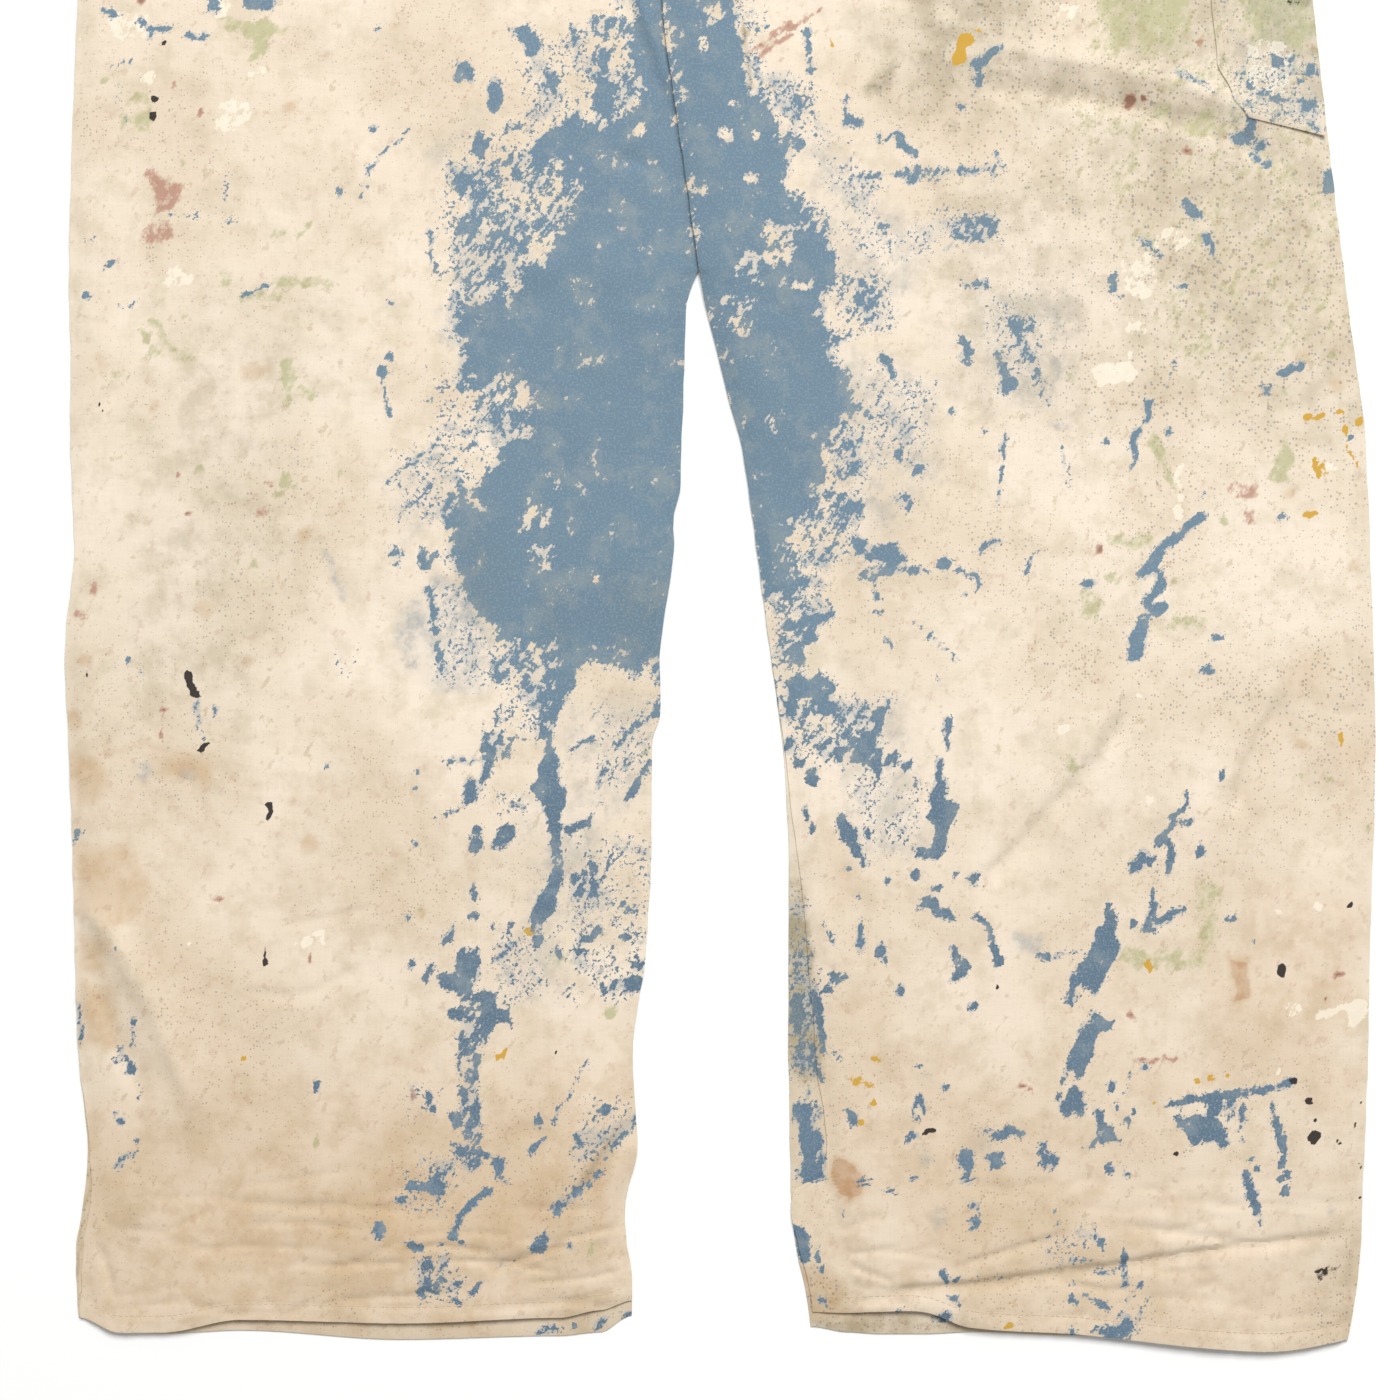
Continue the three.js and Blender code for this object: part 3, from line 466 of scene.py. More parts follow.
GREEN = [
    *patches(0.85, (223,17, 260,20, 293,27, 290,33, 265,38, 268,50, 255,62, 246,60, 252,42, 235,35, 222,33), (280,358,
        290,358, 297,366, 296,376, 292,385, 291,400, 289,408, 281,404, 283,390, 280,375), (1284,432, 1292,450,
        1295,462, 1289,484, 1264,482, 1274,462)),
    *blots(0.6, (125,152, 89,107), (118,152, 112,134), (220,234, 269,288), (237,283, 290,301), (275,333, 277,288),
        (268,286, 225,239), (146,170, 346,358), (172,197, 348,364), (295,319, 384,401), (1104,1153, 535,549),
        (1063,1077, 372,379), (1104,1119, 573,584), (1081,1099, 587,622), (1155,1204, 616,631), (1090,1104, 645,662),
        (1153,1175, 103,118), (1184,1229, 107,136), (1275,1295, 132,147), (254,268, 578,589), (246,256, 526,538),
        (643,653, 745,758), (1063,1079, 754,774)),
    *patches(0.82, (1084,-60, 1200,-80, 1190,60, 1100,56), soft=34.0),
    *patches(0.32, (1090,-110, 1310,-130, 1350,130, 1240,150, 1130,80), (1040,100, 1350,110, 1350,360, 1180,380),
        soft=50.0),
    *patches(0.8, (1222,-70, 1316,-90, 1322,60, 1250,50), soft=30.0),
    *blots(0.62, (1193,1217, 879,952), (1119,1206, 945,968), (546,573, 950,970), (112,125, 371,386), (478,492,
        1088,1101), soft=12.0),
    *dabs(0.9, (105,80, 5), (185,163, 4), (285,480, 5,11), (296,487, 4), (277,495, 6,2.6), (340,473, 3,7), (254,563,
        3,6), (238,561, 3), (198,470, 5,6), (200,583, 3), (1224,522, 5), (1175,582, 5), (1333,356, 6,4), (1285,392,
        4), (1304,774, 4), (1329,778, 3.5), (1370,829, 4,5), (317,1144, 3,8), (591,1249, 4,8), (611,1012, 6)),
    *strokes(0.8, (8, 154,319, 172,350), (6, 139,331, 147,341), (6, 297,239, 310,223), ((14,3), 1153,439, 1166,466,
        1175,493)),
]

RUST = [
    *patches(0.6, (143,172, 156,171, 170,179, 181,185, 179,201, 172,212, 156,214, 154,196, 152,185), (250,508,
        262,512, 266,502, 269,506, 266,516, 254,515)),
    *blots(0.45, (143,176, 223,243), (1244,1256, 511,524), (1229,1258, 482,500), (1300,1314, 42,51), (1137,1173,
        1057,1064), (76,93, 611,619), (1018,1032, 1082,1090), (1332,1346, 971,979), (920,934, 1328,1332), (90,98,
        580,595)),
    *dabs(0.9, (142,2, 4), (175,85, 2.6), (202,113, 2.6), (1130,102, 6), (1143,97, 4), (1186,152, 4), (1201,42, 3),
        (1164,578, 3), (1324,999, 3), (1132,1016, 2.6), (186,513, 2.8), (181,474, 2.2,3), (164,710, 2.4), (162,735,
        2.2), (221,901, 4,2.2), (311,958, 2.2,5), (98,996, 2.2), (413,1090, 2.2), (414,1097, 2.2), (1099,550, 3,6)),
    *strokes(0.95, (3, 1138,1060, 1174,1059), (4, 1019,1084, 1031,1089), (4, 1333,975, 1346,974), (2.4, 264,481,
        272,487), (2.4, 760,46, 800,20), (2.4, 763,53, 792,36), (2.4, 790,30, 823,8), (2.2, 768,35, 790,22), (2.2,
        752,52, 764,46)),
]

WHITE = [
    *patches(0.9, (1088,372, 1103,362, 1130,362, 1138,372, 1133,380, 1115,385, 1100,387), (1314,1014, 1325,1010,
        1340,1004, 1355,1000, 1368,1000, 1369,1012, 1360,1024, 1349,1024, 1346,1012, 1333,1012, 1322,1020, 1315,1021)),
    *blots(0.5, (208,234, -6,17), (109,156, 13,40), (138,156, 69,85), (214,252, 98,134), (248,266, 68,75), (76,85,
        33,45), (161,194, 266,288), (1246,1291, 40,98), (1153,1193, 228,250), (1121,1155, 252,299), (1126,1150,
        321,335), (1050,1083, 4,20), (1173,1184, 464,488), (1284,1302, 998,1018), (1273,1293, 906,914)),
    *dabs(0.95, (1128,353, 4), (1179,497, 4), (1179,512, 4,8), (1331,468, 6,3), (1138,695, 3), (295,941, 3,4),
        (306,942, 6,4), (319,933, 6,3), (322,940, 2.6,4), (190,941, 3,2.4), (1064,729, 6,4), (1278,1072, 2.2),
        (1148,800, 2.4,4), (1316,907, 4,2.4)),
]

YELLOW = [
    *dabs(1.0, (965.6,41, 7), (958,58, 8.5), (1338,413, 5,3), (1359,422, 5,4), (1346,433, 3,6), (1310,514, 8,3),
        (530,931, 6,4), (1148,968, 3.5,7), (1341,739, 2.6,7), (245,1059, 2.8,3.6), (876,1059, 5,2.4), (861,1122, 4),
        (876,1102, 3,4), (1009,1327, 4,2.8), (1197,1079, 3,2.4), (1210,1078, 4,2.2), (1228,1076, 3,2.6), (1153,1103,
        3.6,2.2), (832,45, 2.2)),
    *strokes(1.0, (2.6, 973,33, 983,31), (5, 1307,417, 1323,415), (5, 1312,459, 1319,475), (2.6, 1319,462, 1327,473),
        (2.6, 1346,445, 1357,468), (8, 962,46, 960,54)),
    *patches(1.0, (494,1054, 498,1055, 505,1048, 504,1057, 500,1060, 496,1063)),
    *patches(0.55, (852,1078, 858,1070, 866,1079, 875,1080, 882,1088, 872,1086, 862,1085, 858,1094, 853,1086)),
    *blots(0.4, (1177,1197, 921,928), (823,832, 1258,1266)),
]

BLACK = [
    *strokes(1.0, ((7,8,6), 188,675, 191,686, 196,698), ((2,5,2), 198,752, 203,747, 209,742), (2.4, 98,402, 103,410),
        (2.4, 266,954, 265,945)),
    *dabs(1.0, (153,117, 4), (155,98, 2.2), (165,43, 2.2), (270,806, 4,5), (269,816, 2.8,4), (264,962, 3.5,4.5),
        (86,673, 2.2), (997,987, 2.4), (1281,970, 5,7), (1350,905, 3), (1309,1102, 3,3.5), (1313,1137, 5.5,6),
        (1316,1120, 2.2), (1340,1142, 2.4), (1361,1104, 2.4), (1356,1123, 2.2), (1359,1165, 2,3.5), (1360,1197, 2),
        (1175,1153, 2.2,2.6), (1292,1082, 3), (556,1054, 2.2), (930,1131, 7,3)),
    *strokes(0.45, (3, 649,865, 649,945), (3, 1050,1237, 1012,1249, 979,1259), (5, 1313,1274, 1340,1262), (3,
        1327,1314, 1351,1313)),
    *blots(0.35, (1282,1300, -6,9), (1316,1342, 1262,1284)),
]

# Tea-coloured stains with a darker tide mark here and there, and a broad soft tan that darkens the legs towards the
# hems.
TAN = [
    *patches(1.0, (1224,954, 1250,956, 1255,1000, 1232,1006), (828,1155, 845,1155, 865,1168, 870,1180, 862,1200,
        850,1205, 835,1195, 827,1185), soft=12.0),
    *patches(0.5, (1250,880, 1375,880, 1372,1010, 1300,1070, 1200,1090, 1215,1000), soft=50.0),
    *patches(0.8, (68,755, 95,757, 108,775, 105,795, 95,805, 75,805, 70,780), (73,845, 130,842, 155,885, 140,920,
        115,930, 85,915, 72,905), (76,932, 110,940, 108,975, 80,975), (80,980, 112,985, 120,1050, 80,1050), (573,1166,
        613,1160, 612,1230, 590,1242), (388,1155, 426,1158, 420,1185, 392,1188), (112,1307, 170,1312, 165,1333,
        118,1330), (154,756, 214,754, 212,785, 165,775), (798,1262, 850,1276, 852,1322, 808,1322), soft=18.0),
    *patches(0.34, (215,787, 252,790, 250,812, 220,808), (816,825, 850,820, 868,900, 830,914), (825,980, 900,985,
        890,1050, 830,1050), (1265,900, 1340,905, 1335,990, 1270,985), (1336,745, 1374,740, 1360,807, 1335,830),
        (1135,1095, 1170,1100, 1165,1150, 1135,1145), (1280,1050, 1370,1060, 1360,1140, 1290,1110), (1300,651,
        1325,655, 1318,690, 1290,685), (223,1207, 330,1200, 340,1250, 240,1245), (350,1050, 460,1060, 440,1150,
        360,1160), (560,1060, 640,1070, 640,1180, 590,1150), (1090,1060, 1200,1060, 1190,1110, 1110,1100), (1190,940,
        1320,950, 1330,1080, 1200,1070), (860,1040, 1000,1050, 990,1110, 870,1100), soft=30.0),
    *patches(0.8, (60,1100, 640,1080, 650,1380, 60,1380), soft=260.0),
    *patches(0.46, (790,1080, 1060,1060, 1390,1230, 1390,1380, 780,1380), soft=240.0),
    *patches(0.2, (40,760, 480,780, 470,1200, 40,1200), (820,930, 1380,850, 1380,1210, 820,1210), soft=200.0),
    *strokes(0.5, (9, 105,754, 143,744, 165,751, 210,760), (5, 406,1250, 440,1246, 490,1253), (6, 372,1297, 430,1294),
        (14, 638,1095, 620,1130, 600,1165), (5, 96,1249, 105,1269), (4, 192,1280, 218,1281), soft=8.0),
    *dabs(0.6, (266,370, 6,4), (252,372, 12,10), (155,406, 4,5), (205,609, 9), (84,659, 8,5), (249,662, 6,5),
        (101,361, 5,9), (305,535, 7,8), (74,720, 8,12), (208,765, 6,8), (161,765, 5,4), (232,777, 4), (293,801, 4,5),
        (310,845, 10,12), (176,971, 7,3), (214,1280, 8,4), (290,108, 9,6), (856,1186, 12,8), (880,1216, 6,4),
        (904,1236, 4,5), (925,1243, 11,3.5), (1061,1184, 4,6), (1058,1203, 3,5), (1289,493, 6), (1336,386, 7),
        (1302,357, 8), (1354,566, 7), (1300,743, 7), (1031,647, 3,5), (421,914, 6), (395,26, 3), (363,319, 3),
        (930,1134, 10,6), soft=4.5),
]

# Grey-olive handling dirt and smudges, dirt along the hems, and painted shade: soft shadows along the folds and
# creases, and broad soft shadows at the hips and thighs.
SOIL_AND_SHADE = [
    *patches(0.3, (1214,-70, 1320,-90, 1330,128, 1250,112), soft=18.0),
    *blots(1.0, (1288,1312, -8,8), soft=8.0),
    # Partly dirt, partly painted shade in soft hollows and along the hems.
    *patches(0.4, (459,535, 506,540, 500,618, 465,610), (542,595, 569,600, 565,647, 545,640), (609,573, 667,580,
        660,662, 615,655), (116,1195, 152,1200, 150,1240, 118,1236), (285,1284, 330,1284, 350,1307, 290,1307),
        (1320,1230, 1370,1230, 1350,1340, 1310,1340), (540,1290, 640,1285, 640,1335, 560,1340), (1214,-80, 1320,-90,
        1330,128, 1250,110), (1085,-100, 1310,-120, 1345,120, 1120,70), soft=32.0),
    # Painted shade: broad soft shadows at the top of the left leg and on the right thigh, and a shadow under the fold
    # across the left hip.
    *patches(0.58, (870,-110, 1040,-120, 1050,110, 900,110), soft=90.0),
    *patches(0.36, (1060,60, 1360,90, 1370,420, 1130,380), (190,330, 300,330, 230,700, 130,690), soft=140.0),
    *strokes(0.62, ((16,24,30,26,20), 985,92, 1044,95, 1128,106, 1212,130, 1256,148, 1320,190), soft=30.0),
    *strokes(0.4, (46, 890,4, 960,26, 1050,80, 1150,112, 1250,160), soft=50.0),
    *patches(0.3, (930,180, 1110,160, 1110,420, 940,400), soft=60.0),
    *dabs(0.8, (953,127, 7,9), (876,86, 9,11), soft=9.0),
    *strokes(0.95, ((12,20,12), 870,92, 880,80, 896,66), soft=11.0),
    *patches(0.95, (784,880, 802,880, 818,1000, 822,1078, 800,1086, 784,1050), soft=8.0),
    *patches(1.0, (798,1266, 848,1280, 850,1318, 810,1318), (812,1316, 960,1318, 1000,1336, 812,1336), soft=20.0),
    # Painted shade: thin shadows along the creases and along the fold of the hem.
    *strokes(0.45, (14, 1050,85, 1140,118, 1240,150), (10, 637,1117, 615,1140, 598,1165, 580,1185), (8, 968,1285,
        1012,1279, 1106,1267, 1206,1251), (7, 74,913, 96,923, 118,952, 138,983, 156,1012), (7, 1128,700, 1099,754,
        1063,796), (8, 856,1283, 890,1290, 968,1285), (6, 406,1250, 490,1253), (6, 497,1267, 560,1250), (4, 180,1321,
        257,1322, 350,1329, 439,1327, 533,1318, 591,1317, 631,1304), soft=12.0),
    *strokes(1.0, (3, 91,1168, 82,1224, 77,1262, 75,1284, 77,1302), (5, 743,20, 746,50, 751,90), soft=3.0),
]

# The blue at the fly runs out above the layout's upper edge.
BLUE_ABOVE = [
    *patches(0.92, (634,12, 642,-30, 650,-62, 662,-88, 676,-96, 690,-80, 702,-84, 716,-52, 728,-28, 738,12), soft=10.0),
    *patches(0.4, (612,6, 606,-40, 624,-96, 652,-150, 676,-128, 700,-166, 728,-120, 742,-60, 756,-30, 752,6),
        soft=22.0),
    *strokes(0.8, (10, 668,-90, 676,-150, 672,-196), (7, 714,-60, 730,-118)),
]

LAYERS: dict[Paint, list[Mark]] = {
    Paint.BLUE: BLUE,
    Paint.WEAR: WEAR,
    Paint.FILM: FILM,
    Paint.GREEN: GREEN,
    Paint.RUST: RUST,
    Paint.WHITE: WHITE,
    Paint.YELLOW: YELLOW,
    Paint.BLACK: BLACK,
    Paint.TAN: TAN,
    Paint.SOIL_AND_SHADE: SOIL_AND_SHADE,
}

# How often a loose drop is of each paint.
DROP_CHANCES: dict[Paint, float] = {
    Paint.BLUE: 0.42,
    Paint.GREEN: 0.16,
    Paint.WHITE: 0.14,
    Paint.RUST: 0.1,
    Paint.YELLOW: 0.05,
    Paint.BLACK: 0.05,
    Paint.TAN: 0.08,
}


@dataclass
class Spatter:
    """Paint laid on the cloth: the marks listed in the tables, and loose drops past the layout's upper edge."""

    drops: int = 520
    seed: int = 77
    ragged: float = 1.1
    across: tuple[float, float] = (60, 1340)
    down: tuple[float, float] = (-1330, -12)
    sizes: tuple[float, float] = (2.2, 14.0)
    run_chance: float = 0.3
    # How far the marks' covers pass 1, so that broken paint still closes in their middles.
    solid: float = 1.12
    # How much of each blue layer comes off where the cloth is worn.
    worn: dict[Paint, float] = field(default_factory=lambda: {Paint.BLUE: 1.0, Paint.FILM: 0.4})
    layers: dict[Paint, list[Mark]] = field(default_factory=dict)

    def __post_init__(self) -> None:
        """Adds the loose drops above the layout to the marks."""
        rng = np.random.default_rng(self.seed)
        self.layers = {paint: list(marks) for paint, marks in LAYERS.items()}
        kinds, chances = list(DROP_CHANCES), list(DROP_CHANCES.values())
        for _ in range(self.drops):
            paint = kinds[rng.choice(len(kinds), p=chances)]
            x, y = rng.uniform(*self.across), rng.uniform(*self.down)
            size = float(np.clip(rng.lognormal(1.1, 0.6), *self.sizes))
            cover = rng.uniform(0.55, 1.0)
            if rng.random() < self.run_chance:
                turn, long = rng.uniform(0, math.pi), size * rng.uniform(3, 8)
                row = (size, x, y, x + 0.5 * long * math.cos(turn), y + long * abs(math.sin(turn)))
                self.layers[paint] += strokes(cover, row)
            else:
                self.layers[paint] += dabs(cover, (x, y, size, size * rng.uniform(0.6, 1.5)))
        self.layers[Paint.BLUE] += BLUE_ABOVE

    def lay(self, obj: Piece, x: Grid, y: Grid) -> None:
        """Writes each layer's cover to the cloth's points.

        Args:
            obj: the piece of cloth.
            x: each point's millimetres to the right.
            y: each point's millimetres up from the hems.
        """
        across, down = layout_of(x, y)
        rag_x = self.ragged * waves(across, down, 11, 14, 9, 34)
        rag_y = self.ragged * waves(across, down, 12, 14, 9, 34)
        covers = {paint: self.cover(paint, across + rag_x, down + rag_y) for paint in Paint}
        for paint, share in self.worn.items():
            covers[paint] *= 1.0 - covers[Paint.WEAR] * share
        for paint in Paint:
            if paint is not Paint.WEAR:
                layer = obj.data.attributes.new(paint.value, "FLOAT", "POINT")
                layer.data.foreach_set("value", covers[paint].astype(np.float32))

    def cover(self, paint: Paint, x: Grid, y: Grid) -> Grid:
        """How fully one layer covers each place.

        Args:
            paint: the layer.
            x: places across the layout.
            y: places down the layout.

        Returns:
            The cover, from 0 for none to a little over 1 for solid.
        """
        total = np.zeros_like(x)
        for mark in self.layers[paint]:
            left, right, upper, lower = mark.reach()
            near = (x > left) & (x < right) & (y > upper) & (y < lower)
            if near.any():
                off = mark.distance(x[near], y[near])
                laid = self.solid * mark.cover * np.clip(0.5 - off / mark.soft, 0.0, 1.0)
                total[near] = np.maximum(total[near], laid)
        return total


@dataclass(frozen=True)
class Crease:
    """A soft trough, or a ridge where height is over 0, along a line on the layout."""

    line: tuple[float, ...]
    width: float
    height: float
    steep: float = 0.55
    fade: float = 0.2

    def relief(self, x: Grid, y: Grid) -> Grid:
        """How far the crease moves the cloth, with one flank steeper than the other.

        Args:
            x: places across the layout.
            y: places down the layout.

        Returns:
            The move at each place, in millimetres.
        """
        points = list(zip(self.line[::2], self.line[1::2]))
        lengths = [math.dist(a, b) for a, b in zip(points, points[1:])]
        whole, done = sum(lengths), 0.0
        nearest, side, along = np.full_like(x, FAR), np.zeros_like(x), np.zeros_like(x)
        for (x0, y0), (x1, y1), length in zip(points, points[1:], lengths):
            ex, ey = (x1 - x0) / length, (y1 - y0) / length
            t = np.clip((x - x0) * ex + (y - y0) * ey, 0.0, length)
            off = np.hypot(x - x0 - t * ex, y - y0 - t * ey)
            closer = off < nearest
            nearest = np.where(closer, off, nearest)
            side = np.where(closer, (x - x0) * ey - (y - y0) * ex, side)
            along = np.where(closer, (done + t) / whole, along)
            done += length
        flank = np.where(side > 0.0, self.width, self.steep * self.width)
        ends = smooth(along, 0.0, self.fade) * (1.0 - smooth(along, 1.0 - self.fade, 1.0))
        return self.height * ends * np.exp(-((nearest / flank) ** 2))


# Each row is a line on the layout, the width and the height.
CREASES = [
    Crease(*row)
    for row in (
        ((60,908, 96,923, 118,952, 138,983, 156,1012, 170,1050, 192,1095, 205,1118), 19, 3.0),
        ((58,938, 84,962, 104,1002, 124,1052, 150,1112), 20, -2.6),
        ((380,906, 312,920, 270,925), 6, -0.7),
        ((372,960, 350,970, 317,990, 290,995, 235,990), 8, -0.9),
        ((242,985, 236,1010, 230,1045), 7, -0.5),
        ((395,1252, 440,1246, 500,1254), 5, -1.7),
        ((485,1272, 528,1258, 575,1243), 6, -1.9),
        ((330,1301, 400,1298, 452,1292), 5, -1.5),
        ((210,1202, 290,1206, 370,1204), 5, -1.0),
        ((270,1212, 350,1210, 430,1212), 5, -0.9),
        ((320,1268, 360,1265, 410,1264), 5, -1.1),
        ((648,1108, 621,1132, 606,1152, 590,1180, 570,1200), 9, -3.0),
        ((620,1155, 613,1185, 608,1215, 596,1248), 9, 1.2),
        ((94,1240, 104,1262, 110,1285, 113,1305), 6, -1.5),
        ((96,1200, 102,1212, 110,1232), 5, -1.0),
        ((120,385, 100,402, 80,424), 7, -0.8),
        ((64,750, 76,760, 92,774), 7, -0.7),
        ((1136,684, 1099,754, 1063,796, 1024,843, 997,870, 960,900), 16, -3.1),
        ((1120,730, 1085,790, 1040,850), 22, 1.0),
        ((1288,694, 1264,733, 1244,780, 1228,824), 15, -2.7),
        ((960,90, 1044,95, 1128,106, 1212,130, 1300,172), 15, -4.6),
        ((980,48, 1100,66, 1191,89, 1290,130), 14, 2.2),
        ((860,-6, 930,6, 1000,30), 12, -2.0),
        ((1380,1232, 1329,1235, 1284,1241, 1206,1251, 1106,1267, 1050,1274, 968,1285, 890,1290, 840,1278), 7, -3.0),
        ((1070,1232, 1012,1249, 979,1259, 950,1268), 6, -1.7),
        ((1110,1224, 1175,1233, 1217,1239, 1262,1246), 6, -1.6),
        ((1136,1270, 1184,1273, 1220,1270), 5, -1.1),
        ((1047,1280, 1104,1291, 1136,1290), 5, -1.4),
        ((851,1304, 890,1299, 915,1308), 5, -1.4),
        ((835,1262, 861,1271, 900,1286), 5, -1.3),
        ((822,1150, 828,1190, 834,1235, 846,1266, 853,1320), 5, -2.2),
        ((430,1262, 500,1262, 560,1275), 4, -0.9),
        ((520,1285, 580,1280, 640,1268), 4, -1.0),
        ((450,1312, 520,1308, 600,1300), 4, -0.9),
        ((560,1240, 600,1232, 640,1222), 5, -1.0),
        ((400,1238, 450,1232, 520,1236), 4, -0.8),
        ((628,-40, 636,20, 647,45, 662,85, 672,109, 680,132, 688,175), 6, -2.4),
        ((470,230, 540,270, 600,280, 660,260), 26, 0.9),
        ((830,60, 800,160, 770,260), 28, 0.8),
        ((300,430, 250,500, 220,600), 40, -0.9),
        ((1180,420, 1090,480, 1010,500), 34, -0.7),
        ((612,160, 640,162, 664,176, 690,204), 12, -2.6),
        ((700,-60, 640,-150, 560,-230), 24, 1.2),
        ((720,-70, 800,-160, 900,-220), 24, 1.2),
        ((80,-120, 180,-100, 300,-130), 20, -1.1),
        ((1320,-140, 1200,-120, 1090,-150), 20, -1.1),
    )
]


@dataclass
class Handling:
    """The small creases that wear and folding have left everywhere, drawn from one seed."""

    seed: int = 41
    count: int = 150
    hem_count: int = 70
    slack: float = 0.34
    pucker: float = 0.13
    crimp: float = 0.035
    # How many of its widths away a crease still moves the cloth.
    reach: float = 2.6
    creases: list[Crease] = field(default_factory=list)

    def __post_init__(self) -> None:
        """Draws the creases, more of them lying across the cloth than along it."""
        rng = np.random.default_rng(self.seed)
        for _ in range(self.count):
            x, y = rng.uniform(40, 1370), rng.uniform(-1300, 1320)
            turn, length = rng.normal(0.0, 0.75), rng.uniform(40, 150)
            bend = rng.uniform(-0.35, 0.35)
            x1, y1 = x + 0.5 * length * math.cos(turn), y + 0.5 * length * math.sin(turn)
            x2, y2 = x1 + 0.5 * length * math.cos(turn + bend), y1 + 0.5 * length * math.sin(turn + bend)
            height = rng.choice([-1, 1], p=[0.6, 0.4]) * rng.uniform(0.12, 0.42)
            self.creases.append(Crease((x, y, x1, y1, x2, y2), rng.uniform(5, 15), height))
        for _ in range(self.hem_count):
            x, y, run = rng.uniform(70, 1300), rng.uniform(1175, 1325), rng.uniform(40, 150)
            line = (x, y, x + 0.5 * run, y + rng.normal(0.0, 0.07) * run, x + run, y + rng.normal(0.0, 0.15) * run)
            self.creases.append(Crease(line, rng.uniform(3.5, 7.0), rng.uniform(-0.8, -0.25)))

    def relief(self, x: Grid, y: Grid) -> Grid:
        """All creases and the slack between them, for a piece of cloth.

        Args:
            x: millimetres to the right.
            y: millimetres up from the hems.

        Returns:
            The relief in millimetres.
        """
        across, down = layout_of(x, y)
        relief = np.zeros_like(x)
        for crease in CREASES + self.creases:
            xs, ys = crease.line[::2], crease.line[1::2]
            pad = self.reach * crease.width
            near = (across > min(xs) - pad) & (across < max(xs) + pad)
            near &= (down > min(ys) - pad) & (down < max(ys) + pad)
            if near.any():
                relief[near] += crease.relief(across[near], down[near])
        slack = self.slack * waves(x, y, 21, 14, 60, 170)
        gathered = np.clip(0.6 + 0.5 * waves(x, y, 23, 6, 120, 260), 0.0, 1.6)
        puckers = self.pucker * waves(x, y, 22, 20, 16, 46) * gathered
        return relief + slack + puckers + self.crimp * waves(x, y, 24, 18, 6, 13)


def linear(code: str) -> tuple[float, float, float, float]:
    """Turns six hex digits of sRGB into red, green and blue of linear light, with an alpha of 1."""
    parts = [int(code[k : k + 2], 16) / 255.0 for k in (0, 2, 4)]
    return (*(p / 12.92 if p <= 0.04045 else ((p + 0.055) / 1.055) ** 2.4 for p in parts), 1.0)


def add(tree: Tree, kind: str, links: dict | None = None, **settings: object) -> bpy.types.Node:
    """Adds a node with its settings, and links or sets its inputs.

    Args:
        tree: the material's nodes.
        kind: the node's type.
        links: what each input takes, a socket or a plain value.
        settings: the node's own options.

    Returns:
        The new node.
    """
    node = tree.nodes.new(kind)
    for name, value in settings.items():
        setattr(node, name, value)
    for name, value in (links or {}).items():
        if isinstance(value, Socket):
            tree.links.new(value, node.inputs[name])
        else:
            node.inputs[name].default_value = value
    return node


class Shade(Enum):
    """The colours of the dirt, the painted shade and the paints, as sRGB hex."""

    GREYED = "C0B195"
    # One grey-olive for dirt and for painted shade.
    DIRT_AND_SHADE = "A2987F"
    TAN = "C3A681"
    DEEP_TAN = "B3895F"
    SPECK_BROWN = "85694B"
    SPECK_RED = "94523F"
    SPECK_BLUE = "56697A"
    GREEN = "A8AA79"
    RUBBED_RUST = "AC7D6B"
    RUST = "7A4335"
    FILLER = "F2E9D6"
    OCHRE = "C89D38"
    SMOKE = "8D9CA5"
    BLUE_LOW = "5B7081"
    BLUE_HIGH = "698191"
    BLUE_CLOUD = "667C8D"
    BLUE_RUBBED = "7F8C93"
    BLUE_GRIME_AND_SHADE = "6E7876"
    BLUE_LINT = "8799A7"
    BLUE_FADED = "8B9696"
    BLUE_PALE = "8DA3B3"
    BLACK = "2F2A29"

    @property
    def light(self) -> tuple[float, float, float, float]:
        """The colour in linear light."""
        return linear(self.value)


